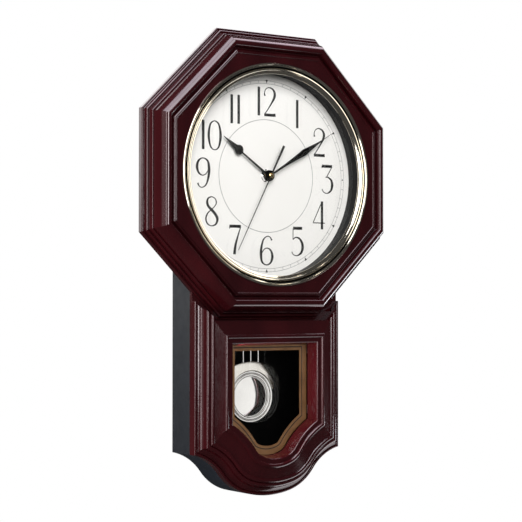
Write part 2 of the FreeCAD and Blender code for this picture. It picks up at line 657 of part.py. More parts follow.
def rear_box():
    depth = REAR - FRAME_DEPTH
    body = OUTER.solid(0.0, box_top(0.0), FRAME_DEPTH, depth)
    body = body.cut(OUTER.solid(WALL, box_top(WALL), FLANGE_LEVEL, depth))
    body = body.cut(OUTER.solid(FLANGE_WIDTH, box_top(FLANGE_WIDTH), FRAME_DEPTH - 1, depth))
    posts = [disc(BOSS_R, FLANGE_LEVEL - 0.5, PANEL_LEVEL - FLANGE_LEVEL + 0.5, x, z)
             for x, z in PANEL_SCREWS]
    body = fuse([body] + posts)
    for x, z in PANEL_SCREWS:
        body = body.cut(screw_seat(x, z, REAR, PANEL_SCREW_LENGTH))
    for x, z in CASE_TO_BOARD:
        body = body.cut(screw_seat(x, z, FLANGE_LEVEL, CASE_TO_BOARD_LENGTH))
    for x, z in CASE_TO_DROP:
        body = body.cut(screw_seat(x, z, FLANGE_LEVEL, DROP_SCREW_LENGTH))
    return body


def keyhole(level, depth, grow=0.0):
    slot = KEYHOLE_SLOT / 2 + grow
    top = HANGER_HEIGHT + KEYHOLE_RISE
    shape = disc(KEYHOLE_R + grow, level, depth, 0, HANGER_HEIGHT)
    shape = shape.fuse(block(-slot, slot, level, level + depth, HANGER_HEIGHT, top))
    return shape.fuse(disc(slot, level, depth, 0, top)).removeSplitter()


def hanger_outline(grow, level, depth):
    half_w = HANGER_PLATE_W / 2 + grow
    low = HANGER_HEIGHT + KEYHOLE_RISE / 2 - HANGER_PLATE_H / 2 - grow
    return block(-half_w, half_w, level, level + depth, low, low + HANGER_PLATE_H + 2 * grow)


def hanger_plate():
    level = REAR - HANGER_THICK
    body = hanger_outline(0.0, level, HANGER_THICK).cut(keyhole(level, HANGER_THICK))
    for x, z in HANGER_SCREWS:
        body = body.cut(screw_seat(x, z, REAR, HANGER_SCREW_LENGTH))
    return body


def back_panel():
    body = OUTER.solid(WALL + FIT_GAP, box_top(WALL + FIT_GAP), PANEL_LEVEL, PANEL_THICK)
    body = body.cut(hanger_outline(FIT_GAP, REAR - HANGER_THICK, HANGER_THICK + 1))
    body = body.cut(keyhole(PANEL_LEVEL, PANEL_THICK, BACK_HOLE_GAP))
    access = block(-OPENING_HALF_WIDTH, OPENING_HALF_WIDTH, PANEL_LEVEL - 1, REAR + 1,
                   -OPENING_BOTTOM, OPENING_TOP)
    corners = [e for e in access.Edges if abs(e.tangentAt(e.FirstParameter).y) > 0.9]
    body = body.cut(access.makeFillet(6.0, corners))
    for x, z in PANEL_SCREWS:
        body = body.cut(screw_seat(x, z, REAR, PANEL_SCREW_LENGTH))
    for x, z in HANGER_SCREWS:
        body = body.cut(screw_seat(x, z, REAR, HANGER_SCREW_LENGTH))
    return body


# --- dial parts -----------------------------------------------------------------------------------
def bezel():
    level = PLATE_LEVEL
    sleeve = WELL_RADIUS - FIT_GAP / 2
    well = WELL_RADIUS
    profile = [(BEZEL_OUTER, level), (well + 5.1, -0.6, well + 3.1, 0.3), (well + 1.1, 1.7),
               (well + 0.6, 2.2, well, 1.7), (well - 1.3, 0.9, well - 2.7, 1.9),
               (well - 4.3, 3.4, BEZEL_INNER + 0.3, 4.1),
               (BEZEL_INNER - 0.1, 4.4, BEZEL_INNER, GLASS_LEVEL), (sleeve, GLASS_LEVEL), (sleeve, level)]
    return revolve(faceted(profile), sectors=RING_SECTORS)


def dial_glass():
    return disc(WELL_RADIUS - FIT_GAP, GLASS_LEVEL, GLASS_THICK)


def dial_spacer():
    front = GLASS_LEVEL + GLASS_THICK
    outer = WELL_RADIUS - FIT_GAP
    return revolve([(WELL_RADIUS - RING_FRONT, front), (outer, front), (outer, DIAL_LEVEL),
                    (WELL_RADIUS - RING_REAR, DIAL_LEVEL)], sectors=RING_SECTORS)


def dial_plate():
    return tube(WELL_RADIUS - FIT_GAP, BUSHING_R + FIT_GAP, DIAL_LEVEL, DIAL_THICK)


# --- gears ----------------------------------------------------------------------------------------
def gear(teeth, module, level, thick, bore, phase=0.0):
    """Spur gear at the origin; phase turns the middle of one tooth clockwise from straight up."""
    pitch = teeth * module / 2
    tip = pitch + 0.8 * module
    root = pitch - 1.2 * module
    pitch_angle = 2 * math.pi / teeth
    thin = 0.40 if teeth > 20 else 0.34
    wide = [(root, thin + 0.14), (pitch, thin), (tip, thin * 0.5)]
    points = []
    for tooth in range(teeth):
        middle = math.radians(phase) + tooth * pitch_angle
        flank = [(r, middle - share * pitch_angle / 2) for r, share in wide]
        flank += [(r, middle + share * pitch_angle / 2) for r, share in reversed(wide)]
        points += [(r * math.sin(t), r * math.cos(t)) for r, t in flank]
    body = polygon(points, level, thick)
    return body.cut(disc(bore, level, thick)) if bore > 0 else body


def moved(shape, place):
    copy = shape.copy()
    copy.translate(FreeCAD.Vector(place[0], 0, place[1]))
    return copy


def polar(origin, distance, angle):
    """Point at a distance and clockwise angle from another."""
    turn = math.radians(angle)
    return (origin[0] + distance * math.sin(turn), origin[1] + distance * math.cos(turn))


def centres(teeth_a, teeth_b, module):
    return (teeth_a + teeth_b) * module / 2


# tooth counts: driver pinion and driven wheel of each stage
ROTOR_PINION, INTER_WHEEL, ROTOR_MODULE = 10, 60, 0.20
INTER_PINION, SECOND_WHEEL, INTER_MODULE = 12, 60, 0.28
SECOND_PINION, THIRD_WHEEL, THIRD_MODULE = 8, 60, 0.30
THIRD_PINION, MINUTE_WHEEL = 8, 64
CANNON_PINION, MOTION_WHEEL, MOTION_MODULE = 16, 48, 0.30
MOTION_PINION, HOUR_WHEEL = 12, 48
SETTING_PINION = 16
THIRD_DISTANCE = centres(SECOND_PINION, THIRD_WHEEL, THIRD_MODULE)
MOTION_DISTANCE = centres(CANNON_PINION, MOTION_WHEEL, MOTION_MODULE)
MINUTE_MODULE = 2 * THIRD_DISTANCE / (THIRD_PINION + MINUTE_WHEEL)
HOUR_MODULE = 2 * MOTION_DISTANCE / (MOTION_PINION + HOUR_WHEEL)

# directions of the arbors from the dial's centre, clockwise from straight up
THIRD_TURN = 315.0
INTER_TURN = 45.0
ROTOR_TURN = 105.0
MOTION_TURN = 225.0
SETTING_TURN = 190.0
CENTRE = (0.0, 0.0)
THIRD = polar(CENTRE, THIRD_DISTANCE, THIRD_TURN)
INTER = polar(CENTRE, centres(INTER_PINION, SECOND_WHEEL, INTER_MODULE), INTER_TURN)
ROTOR = polar(INTER, centres(ROTOR_PINION, INTER_WHEEL, ROTOR_MODULE), ROTOR_TURN)
MOTION = polar(CENTRE, MOTION_DISTANCE, MOTION_TURN)
SETTING = polar(MOTION, centres(SETTING_PINION, MOTION_WHEEL, MOTION_MODULE), SETTING_TURN)

# levels of the wheels behind the movement's front, from the dial inwards
INSIDE = MOVE_FRONT + MOVE_WALL
HOUR_WHEEL_LEVEL = INSIDE + 0.5
MOTION_WHEEL_LEVEL = HOUR_WHEEL_LEVEL + 2.0
MINUTE_WHEEL_LEVEL = MOTION_WHEEL_LEVEL + 2.0
THIRD_WHEEL_LEVEL = MINUTE_WHEEL_LEVEL + 2.0
SECOND_WHEEL_LEVEL = THIRD_WHEEL_LEVEL + 2.0
INTER_WHEEL_LEVEL = SECOND_WHEEL_LEVEL + 2.0
ROTOR_LEVEL = INTER_WHEEL_LEVEL + 1.8
PINION_LEAD = 0.2            # pinions start this far ahead of the wheels they drive
ARBOR_SHORT = 0.6            # arbors stop this far inside the movement's outer faces
ARBOR_ENDS = (MOVE_FRONT + ARBOR_SHORT, MOVE_REAR - ARBOR_SHORT)


def mesh_phase(teeth, towards):
    """Phase that puts a tooth gap in the given direction."""
    return towards + 180.0 / teeth


def arbor(level0, level1, radius=ARBOR_R):
    return disc(radius, level0, level1 - level0)


def rotor():
    pinion = gear(ROTOR_PINION, ROTOR_MODULE, INTER_WHEEL_LEVEL - PINION_LEAD, PINION_THICK, 0.0,
                  mesh_phase(ROTOR_PINION, ROTOR_TURN + 180))
    magnet = disc(ROTOR_MAGNET_R, ROTOR_LEVEL, ROTOR_MAGNET_THICK)
    shaft = arbor(*ARBOR_ENDS)
    return moved(fuse([pinion, magnet, shaft]), ROTOR)


def intermediate_wheel():
    wheel = gear(INTER_WHEEL, ROTOR_MODULE, INTER_WHEEL_LEVEL, GEAR_THICK, 0.0, ROTOR_TURN)
    pinion = gear(INTER_PINION, INTER_MODULE, SECOND_WHEEL_LEVEL - PINION_LEAD,
                  INTER_WHEEL_LEVEL - SECOND_WHEEL_LEVEL + PINION_LEAD, 0.0,
                  mesh_phase(INTER_PINION, INTER_TURN + 180))
    shaft = arbor(*ARBOR_ENDS)
    return moved(fuse([wheel, pinion, shaft]), INTER)


def second_wheel():
    """Wheel, pinion and the long arbor that carries the second hand."""
    wheel = gear(SECOND_WHEEL, INTER_MODULE, SECOND_WHEEL_LEVEL, GEAR_THICK, 0.0, INTER_TURN)
    pinion = gear(SECOND_PINION, THIRD_MODULE, THIRD_WHEEL_LEVEL - PINION_LEAD,
                  SECOND_WHEEL_LEVEL - THIRD_WHEEL_LEVEL + PINION_LEAD, 0.0,
                  mesh_phase(SECOND_PINION, THIRD_TURN))
    shaft = arbor(SECOND_LEVEL - ARBOR_SHORT, ARBOR_ENDS[1], SECOND_R)
    return fuse([wheel, pinion, shaft])


def third_wheel():
    wheel = gear(THIRD_WHEEL, THIRD_MODULE, THIRD_WHEEL_LEVEL, GEAR_THICK, 0.0, THIRD_TURN + 180)
    pinion = gear(THIRD_PINION, MINUTE_MODULE, MINUTE_WHEEL_LEVEL - PINION_LEAD,
                  THIRD_WHEEL_LEVEL - MINUTE_WHEEL_LEVEL + PINION_LEAD, 0.0,
                  mesh_phase(THIRD_PINION, THIRD_TURN + 180))
    shaft = arbor(*ARBOR_ENDS)
    return moved(fuse([wheel, pinion, shaft]), THIRD)


def minute_wheel():
    """Wheel and cannon pinion on the tube that carries the minute hand."""
    bore = SECOND_R + RUN_GAP
    wheel = gear(MINUTE_WHEEL, MINUTE_MODULE, MINUTE_WHEEL_LEVEL, GEAR_THICK, 0.0, THIRD_TURN)
    pinion = gear(CANNON_PINION, MOTION_MODULE, MOTION_WHEEL_LEVEL - PINION_LEAD,
                  MINUTE_WHEEL_LEVEL - MOTION_WHEEL_LEVEL + PINION_LEAD, 0.0,
                  mesh_phase(CANNON_PINION, MOTION_TURN))
    length = MINUTE_WHEEL_LEVEL + GEAR_THICK - MINUTE_LEVEL + 0.3
    shaft = disc(MINUTE_TUBE_R, MINUTE_LEVEL - 0.3, length)
    return fuse([wheel, pinion, shaft]).cut(disc(bore, CUT_FRONT, CUT_DEPTH))


def motion_wheel():
    bore = MOTION_POST_R + RUN_GAP
    wheel = gear(MOTION_WHEEL, MOTION_MODULE, MOTION_WHEEL_LEVEL, GEAR_THICK, 0.0, MOTION_TURN + 180)
    pinion = gear(MOTION_PINION, HOUR_MODULE, HOUR_WHEEL_LEVEL - PINION_LEAD,
                  MOTION_WHEEL_LEVEL - HOUR_WHEEL_LEVEL + PINION_LEAD, 0.0,
                  mesh_phase(MOTION_PINION, MOTION_TURN + 180))
    return moved(fuse([wheel, pinion]).cut(disc(bore, CUT_FRONT, CUT_DEPTH)), MOTION)


def hour_wheel():
    bore = MINUTE_TUBE_R + RUN_GAP
    wheel = gear(HOUR_WHEEL, HOUR_MODULE, HOUR_WHEEL_LEVEL, GEAR_THICK, 0.0, MOTION_TURN)
    length = HOUR_WHEEL_LEVEL + GEAR_THICK + 0.3 - HOUR_LEVEL + 0.2
    shaft = disc(HOUR_TUBE_R, HOUR_LEVEL - 0.2, length)
    return fuse([wheel, shaft]).cut(disc(bore, CUT_FRONT, CUT_DEPTH))


def setting_knob():
    towards = SETTING_TURN + 180
    motion_teeth_turn = (towards - 180 - (MOTION_TURN + 180)) * MOTION_WHEEL / SETTING_PINION
    phase = mesh_phase(SETTING_PINION, towards) + motion_teeth_turn
    pinion = gear(SETTING_PINION, MOTION_MODULE, MOTION_WHEEL_LEVEL - PINION_LEAD, PINION_THICK, 0.0, phase)
    shaft = disc(KNOB_SHAFT_R, MOTION_WHEEL_LEVEL, MOVE_REAR + KNOB_GAP - MOTION_WHEEL_LEVEL)
    stub = arbor(ARBOR_ENDS[0], MOTION_WHEEL_LEVEL)
    grips = [disc(KNOB_GRIP_R, MOVE_REAR, KNOB_GAP + KNOB_THICK + 1,
                  *polar(CENTRE, KNOB_R + 0.35, 360 / KNOB_GRIPS * k)) for k in range(KNOB_GRIPS)]
    knob = disc(KNOB_R, MOVE_REAR + KNOB_GAP, KNOB_THICK)
    for grip in grips:
        knob = knob.cut(grip)
    return moved(fuse([pinion, shaft, stub, knob]), SETTING)


# --- movement -------------------------------------------------------------------------------------
def movement_box(inset, level, depth):
    half = MOVE_HALF_WIDTH - inset
    body = block(-half, half, level, level + depth, -MOVE_BOTTOM + inset, MOVE_TOP - inset)
    corners = [e for e in body.Edges if abs(e.tangentAt(e.FirstParameter).y) > 0.9]
    return body.makeFillet(4.0 - inset, corners)


def battery_bay(grow):
    """Room of the battery and its contacts, open to the rear."""
    half = BATTERY_LENGTH / 2 + 2 * CONTACT_THICK + BATTERY_GAP + grow
    reach = BATTERY_R + BATTERY_GAP + grow
    trough = Part.makeCylinder(reach, 2 * half, at(-half, CELL_LEVEL, -BATTERY_DROP), FreeCAD.Vector(1, 0, 0))
    mouth = block(-half, half, CELL_LEVEL, MOVE_REAR + 1, -BATTERY_DROP - reach, -BATTERY_DROP + reach)
    return trough.fuse(mouth)


def bearing(place, radius=ARBOR_R):
    return disc(radius + RUN_GAP, CUT_FRONT, CUT_DEPTH, *place)


def movement_front():
    """Front half of the movement's case, with the threaded centre tube."""
    body = movement_box(0.0, MOVE_FRONT, MOVE_SPLIT).cut(movement_box(MOVE_WALL, INSIDE, MOVE_SPLIT))
    bushing_front = DIAL_LEVEL - BUSHING_RISE
    body = body.fuse(disc(BUSHING_R, bushing_front, MOVE_FRONT + 0.5 - bushing_front))
    body = body.fuse(disc(MOTION_POST_R, INSIDE - 0.5, MINUTE_WHEEL_LEVEL - 0.6 - INSIDE + 0.5, *MOTION))
    rib = -BATTERY_DROP - BATTERY_R - 2.6
    wall = block(-CIRCUIT_HALF, CIRCUIT_HALF, INSIDE - 0.5, MOVE_FRONT + MOVE_SPLIT, rib - 0.6, rib + 0.6)
    body = fuse([body, wall])
    body = body.cut(disc(HOUR_TUBE_R + RUN_GAP, CUT_FRONT, CUT_DEPTH))
    for place in (THIRD, INTER, ROTOR, SETTING):
        body = body.cut(bearing(place))
    return body


def movement_rear():
    """Rear half, with the battery bay, the knob's hole and the pendulum's pin boss."""
    level = MOVE_FRONT + MOVE_SPLIT
    depth = MOVE_THICK - MOVE_SPLIT
    body = movement_box(0.0, level, depth).cut(movement_box(MOVE_WALL, level - 1, depth - MOVE_WALL + 1))
    side = MOVE_HALF_WIDTH - 0.5
    room = block(-side, side, INSIDE + 0.4, MOVE_REAR, -BATTERY_DROP - 20, -BATTERY_DROP + 20)
    bay = battery_bay(BAY_WALL).common(room)
    body = body.fuse(bay).cut(battery_bay(0.0))
    body = body.fuse(disc(PIN_BOSS_R, MOVE_REAR - 5.0, 5.0 + PIN_BOSS_RISE, 0, -PIVOT_DROP))
    body = body.cut(disc(PIVOT_R, MOVE_REAR - PIN_DEPTH, CUT_DEPTH, 0, -PIVOT_DROP))
    for place in (THIRD, INTER, ROTOR, CENTRE):
        body = body.cut(disc(ARBOR_R + RUN_GAP, INSIDE, MOVE_REAR - 0.5 - INSIDE, *place))
    return body.cut(bearing(SETTING, KNOB_SHAFT_R)).removeSplitter()


def dial_nut():
    """Hexagon nut on the centre tube, over its washer."""
    level = DIAL_LEVEL - WASHER_THICK - NUT_THICK
    reach = NUT_FLATS / 2 / math.cos(math.pi / 6)
    turn = [math.radians(60 * k) for k in range(6)]
    body = polygon([(reach * math.cos(t), reach * math.sin(t)) for t in turn], level, NUT_THICK)
    return body.cut(disc(BUSHING_R, level, NUT_THICK))


def dial_washer():
    return tube(WASHER_R, BUSHING_R, DIAL_LEVEL - WASHER_THICK, WASHER_THICK)


def rubber_washer():
    return tube(RUBBER_R, BUSHING_R, MOVE_FRONT - RUBBER_THICK, RUBBER_THICK)


def stator():
    """Pole plate around the rotor's magnet, and its leg through the coil."""
    level = ROTOR_LEVEL + 0.8
    back = level + STATOR_THICK
    ring = disc(STATOR_R, level, STATOR_THICK, *ROTOR)
    arm = block(ROTOR[0], COIL_X + LEG_HALF, level, back, ROTOR[1] - 2.4, ROTOR[1] + 2.4)
    leg = block(COIL_X - LEG_HALF, COIL_X + LEG_HALF, level, back, -COIL_REACH, ROTOR[1] + 2.4)
    return fuse([ring, arm, leg]).cut(disc(STATOR_BORE, CUT_FRONT, CUT_DEPTH, *ROTOR))


def motor_coil():
    """Bobbin of fine wire around the stator's leg."""
    level = ROTOR_LEVEL + 0.8
    middle = -COIL_REACH + 1.5 + COIL_HALF
    axis = at(COIL_X, level + STATOR_THICK / 2, middle - COIL_HALF)
    body = Part.makeCylinder(COIL_R, 2 * COIL_HALF, axis, FreeCAD.Vector(0, 0, 1))
    for end in (0.0, 2 * COIL_HALF - 1.0):
        foot = axis + FreeCAD.Vector(0, 0, end)
        body = body.fuse(Part.makeCylinder(COIL_R + 0.7, 1.0, foot, FreeCAD.Vector(0, 0, 1)))
    leg = block(COIL_X - LEG_HALF, COIL_X + LEG_HALF, level, level + STATOR_THICK, -COIL_REACH - 1, ROTOR[1])
    return body.cut(leg)


def circuit_board():
    return block(-CIRCUIT_HALF, CIRCUIT_HALF, CIRCUIT_LEVEL, CIRCUIT_LEVEL + CIRCUIT_THICK,
                 CIRCUIT_FOOT, CIRCUIT_HEAD)


def quartz_crystal():
    """Small can lying on the circuit board."""
    start = at(CRYSTAL_X, CIRCUIT_LEVEL + CIRCUIT_THICK + CRYSTAL_R, CRYSTAL_Z)
    return Part.makeCylinder(CRYSTAL_R, CRYSTAL_LENGTH, start, FreeCAD.Vector(1, 0, 0))


def drive_coil():
    """Flat coil that pushes the pendulum's magnet."""
    level = MOVE_REAR - MOVE_WALL - DRIVE_COIL_THICK - 0.1
    return tube(DRIVE_COIL_R, DRIVE_COIL_BORE, level, DRIVE_COIL_THICK, 0, -MAGNET_DROP)


def battery():
    half = BATTERY_LENGTH / 2
    along = FreeCAD.Vector(1, 0, 0)
    body = Part.makeCylinder(BATTERY_R - 0.1, 2 * half - 1.2, at(-half, CELL_LEVEL, -BATTERY_DROP), along)
    cap = Part.makeCylinder(2.7, 1.2, at(half - 1.2, CELL_LEVEL, -BATTERY_DROP), along)
    return body.fuse(cap).removeSplitter()


def battery_contact(side):
    """Sprung plate at one end of the battery."""
    near = side * (BATTERY_LENGTH / 2)
    far = side * (BATTERY_LENGTH / 2 + CONTACT_THICK)
    return block(min(near, far), max(near, far), CELL_LEVEL - CONTACT_HALF, CELL_LEVEL + CONTACT_HALF,
                 -BATTERY_DROP - CONTACT_HALF, -BATTERY_DROP + CONTACT_HALF)


# --- hands ----------------------------------------------------------------------------------------
def hour_hand():
    """Stem with a round eye and a pointed tip."""
    eye_side = math.sqrt(HOUR_EYE_R ** 2 - 1.1 ** 2)
    tip_from = HOUR_EYE_AT + HOUR_EYE_R * 0.8
    stem_end = HOUR_EYE_AT - eye_side + 0.2
    stem = [(-1.5, 0.0), (-0.9, stem_end), (0.9, stem_end), (1.5, 0.0)]
    tip = [(-3.1, tip_from), (-0.15, HOUR_LENGTH), (0.15, HOUR_LENGTH), (3.1, tip_from)]
    parts = [polygon(stem, HOUR_LEVEL, HAND_THICK), polygon(tip, HOUR_LEVEL, HAND_THICK),
             disc(HOUR_EYE_R, HOUR_LEVEL, HAND_THICK, 0, HOUR_EYE_AT), disc(6.6, HOUR_LEVEL, HAND_THICK),
             disc(4.4, HOUR_LEVEL, 1.0)]
    return turned(fuse(parts).cut(disc(HOUR_TUBE_R, CUT_FRONT, CUT_DEPTH)), HOUR_ANGLE)


def minute_hand():
    """Leaf that swells from a narrow root and runs out to a needle."""
    w = MINUTE_HALF_WIDTH
    at_z = MINUTE_WIDEST_AT
    def side(sign):
        lower = arc(at(sign * 1.1, MINUTE_LEVEL, 4.0), at(sign * w * 0.52, MINUTE_LEVEL, at_z * 0.62),
                    at(sign * w, MINUTE_LEVEL, at_z))
        upper = arc(at(sign * w, MINUTE_LEVEL, at_z), at(sign * w * 0.50, MINUTE_LEVEL, at_z * 1.26),
                    at(sign * 0.35, MINUTE_LEVEL, MINUTE_LENGTH * 0.86))
        return [lower, upper, line(at(sign * 0.35, MINUTE_LEVEL, MINUTE_LENGTH * 0.86),
                                   at(sign * 0.12, MINUTE_LEVEL, MINUTE_LENGTH))]
    right, left = side(1), side(-1)
    tip = line(at(0.12, MINUTE_LEVEL, MINUTE_LENGTH), at(-0.12, MINUTE_LEVEL, MINUTE_LENGTH))
    foot = line(at(-1.1, MINUTE_LEVEL, 4.0), at(1.1, MINUTE_LEVEL, 4.0))
    leaf = Part.Face(Part.Wire(right + [tip] + left[::-1] + [foot]))
    parts = [prism(leaf, HAND_THICK), disc(6.2, MINUTE_LEVEL, HAND_THICK), disc(3.2, MINUTE_LEVEL, 1.0)]
    return turned(fuse(parts).cut(disc(MINUTE_TUBE_R, CUT_FRONT, CUT_DEPTH)), MINUTE_ANGLE)


def second_hand():
    """Needle with a broader counterweight bar."""
    needle = [(-0.7, 0.0), (-0.25, SECOND_LENGTH), (0.25, SECOND_LENGTH), (0.7, 0.0)]
    tail = [(-0.8, 0.0), (-1.5, -SECOND_TAIL), (1.5, -SECOND_TAIL), (0.8, 0.0)]
    parts = [polygon(needle, SECOND_LEVEL, HAND_THICK), polygon(tail, SECOND_LEVEL, HAND_THICK),
             disc(4.6, SECOND_LEVEL, HAND_THICK), disc(1.4, SECOND_LEVEL, 1.2)]
    return turned(fuse(parts).cut(disc(SECOND_R, CUT_FRONT, CUT_DEPTH)), SECOND_ANGLE)


def hand_cap():
    """Domed cap pressed over the second hand's boss."""
    top = SECOND_LEVEL - 1.6
    seat = SECOND_LEVEL - ARBOR_SHORT
    return revolve([(0.0, top), (2.0, top + 0.25, 3.3, top + 1.1), (3.3, SECOND_LEVEL),
                    (SECOND_R, SECOND_LEVEL), (SECOND_R, seat), (0.0, seat)])


# --- pendulum -------------------------------------------------------------------------------------
def pivot_pin():
    """Headed pin pressed into the movement's boss."""
    head = LEVER_LEVEL + LEVER_THICK + LEVER_GAP
    shank = disc(PIVOT_R, MOVE_REAR - PIN_DEPTH, head - MOVE_REAR + PIN_DEPTH, 0, -PIVOT_DROP)
    return shank.fuse(disc(PIN_HEAD_R, head, PIN_HEAD, 0, -PIVOT_DROP)).removeSplitter()


def pendulum_lever():
    """Light plastic arm that hangs on the pin and carries the magnet."""
    hub = disc(LEVER_HUB_R, LEVER_LEVEL, LEVER_THICK, 0, -PIVOT_DROP)
    arm = block(-LEVER_HALF, LEVER_HALF, LEVER_LEVEL, LEVER_LEVEL + LEVER_THICK, -LEVER_FOOT, -PIVOT_DROP)
    pad = disc(MAGNET_PAD_R, LEVER_LEVEL, LEVER_THICK, 0, -MAGNET_DROP)
    body = fuse([hub, arm, pad])
    body = body.cut(disc(PIVOT_R + RUN_GAP, CUT_FRONT, CUT_DEPTH, 0, -PIVOT_DROP))
    return body.cut(disc(MAGNET_R, LEVER_LEVEL - 1, 1 + MAGNET_THICK, 0, -MAGNET_DROP))


def pendulum_magnet():
    return disc(MAGNET_R, LEVER_LEVEL, MAGNET_THICK, 0, -MAGNET_DROP)


def pendulum_yoke():
    """Cross piece under the lever, holding the three rods."""
    half = ROD_PITCH + YOKE_MARGIN
    body = block(-half, half, YOKE_LEVEL, YOKE_LEVEL + YOKE_THICK, -YOKE_FOOT, -LEVER_FOOT)
    for k in (-1, 0, 1):
        body = body.cut(rod(k))
    return body


def rod(k):
    length = NECK_TOP + ROD_SEAT - YOKE_FOOT + YOKE_SEAT
    foot = at(k * ROD_PITCH, ROD_LEVEL, -NECK_TOP - ROD_SEAT)
    return Part.makeCylinder(ROD_R, length, foot, FreeCAD.Vector(0, 0, 1))


def neck_outline():
    """Broad arch over the bob, closing on to its ring at the sides."""
    top = -NECK_TOP
    shoulder, side, foot = [at(x, 0, z) for x, z in ((NECK_HALF, top - NECK_FALL),
                                                     (NECK_SIDE[0], NECK_SIDE[1] - BOB_DROP),
                                                     (NECK_FOOT[0], NECK_FOOT[1] - BOB_DROP))]
    left = [at(-p.x, 0, p.z) for p in (shoulder, side, foot)]
    return Part.Face(Part.Wire([arc(shoulder, at(0, 0, top), left[0]), arc(left[0], left[1], left[2]),
                                line(left[2], foot), arc(foot, side, shoulder)]))


def pendulum_neck():
    """Plate between rods and bob; its front is rounded back from the ring outwards."""
    front = ROD_LEVEL - NECK_THICK / 2
    crest = front - NECK_FRONT
    middle, edge = [(r, crest + fall) for r, fall in NECK_ROUND]
    outline = neck_outline()
    outline.translate(FreeCAD.Vector(0, crest, 0))
    body = prism(outline, NECK_THICK + NECK_FRONT)
    hollow = BOB_R + 0.02
    body = body.cut(revolve([(hollow, CUT_FRONT), (hollow, crest), (*middle, *edge), (edge[0], CUT_FRONT)],
                            0, -BOB_DROP))
    body = body.cut(disc(hollow, CUT_FRONT, CUT_DEPTH, 0, -BOB_DROP))
    for k in (-1, 0, 1):
        body = body.cut(rod(k))
    return body


def bob_back():
    """Flat disc behind the bob, with a tongue behind the neck."""
    body = disc(BOB_R - 0.5, BOB_BACK, DISC_THICK, 0, -BOB_DROP)
    tongue = block(-TONGUE_HALF, TONGUE_HALF, BOB_BACK, BOB_BACK + DISC_THICK, -BOB_DROP, -NECK_TOP - 4.0)
    return fuse([body, tongue])


def bob_ring():
    base = BOB_BACK
    return revolve([(BOB_R, base), (BOB_R, base - 1.6), (29.0, base - 3.4, 27.2, base - 1.6),
                    (25.4, base - 3.4, DOME_R + 0.05, base - 1.5), (DOME_R + 0.05, base)],
                   0, -BOB_DROP)


def bob_dome():
    base = BOB_BACK
    rise = DOME_HEIGHT - DOME_EDGE
    mid = DOME_R * 0.55
    radius = (DOME_R ** 2 + rise ** 2) / (2 * rise)
    sag = radius - math.sqrt(radius ** 2 - mid ** 2)
    apex = base - DOME_HEIGHT
    return revolve([(0.0, base), (DOME_R, base), (DOME_R, base - DOME_EDGE), (mid, apex + sag, 0.0, apex)],
                   0, -BOB_DROP)


def write_parts():
    os.makedirs(OUT, exist_ok=True)
    save("octagon_frame", octagon_frame())
    save("dial_board", dial_board())
    save("drop_frame", drop_frame())
    save("window_glass", window_glass())
    save("window_clips", *window_clips())
    save("window_clip_screws", *[screw(x, z, CLIP_LEVEL + CLIP_THICK, CLIP_SCREW_LENGTH)
                                 for x, z in CLIP_PLACES])
    save("rear_box", rear_box())
    save("back_panel", back_panel())
    save("hanger_plate", hanger_plate())
    save("hanger_screws", *[screw(x, z, REAR, HANGER_SCREW_LENGTH) for x, z in HANGER_SCREWS])
    save("panel_screws", *[screw(x, z, REAR, PANEL_SCREW_LENGTH) for x, z in PANEL_SCREWS])
    save("board_screws", *[screw(x, z, FRAME_DEPTH, BOARD_SCREW_LENGTH) for x, z in BOARD_SCREWS])
    save("case_screws", *[screw(x, z, FLANGE_LEVEL, CASE_TO_BOARD_LENGTH) for x, z in CASE_TO_BOARD],
         *[screw(x, z, FLANGE_LEVEL, DROP_SCREW_LENGTH) for x, z in CASE_TO_DROP])
    save("bezel", bezel())
    save("dial_glass", dial_glass())
    save("dial_spacer", dial_spacer())
    save("dial_plate", dial_plate())
    save("movement_front", movement_front())
    save("movement_rear", movement_rear())
    save("dial_nut", dial_nut())
    save("dial_washer", dial_washer())
    save("rubber_washer", rubber_washer())
    save("stator", stator())
    save("motor_coil", motor_coil())
    save("circuit_board", circuit_board())
    save("quartz_crystal", quartz_crystal())
    save("drive_coil", drive_coil())
    save("battery", battery())
    save("battery_contact_plus", battery_contact(1))
    save("battery_contact_minus", battery_contact(-1))
    save("rotor", rotor())
    save("intermediate_wheel", intermediate_wheel())
    save("second_wheel", second_wheel())
    save("third_wheel", third_wheel())
    save("minute_wheel", minute_wheel())
    save("motion_wheel", motion_wheel())
    save("hour_wheel", hour_wheel())
    save("setting_knob", setting_knob())
    save("hour_hand", hour_hand())
    save("minute_hand", minute_hand())
    save("second_hand", second_hand())
    save("hand_cap", hand_cap())
    save("pivot_pin", pivot_pin())
    save("pendulum_lever", pendulum_lever())
    save("pendulum_magnet", pendulum_magnet())
    save("pendulum_yoke", pendulum_yoke())
    save("pendulum_rods", *[rod(k) for k in (-1, 0, 1)])
    save("pendulum_neck", pendulum_neck())
    save("bob_back", bob_back())
    save("bob_ring", bob_ring())
    save("bob_dome", bob_dome())


write_parts()
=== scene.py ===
import json
import math

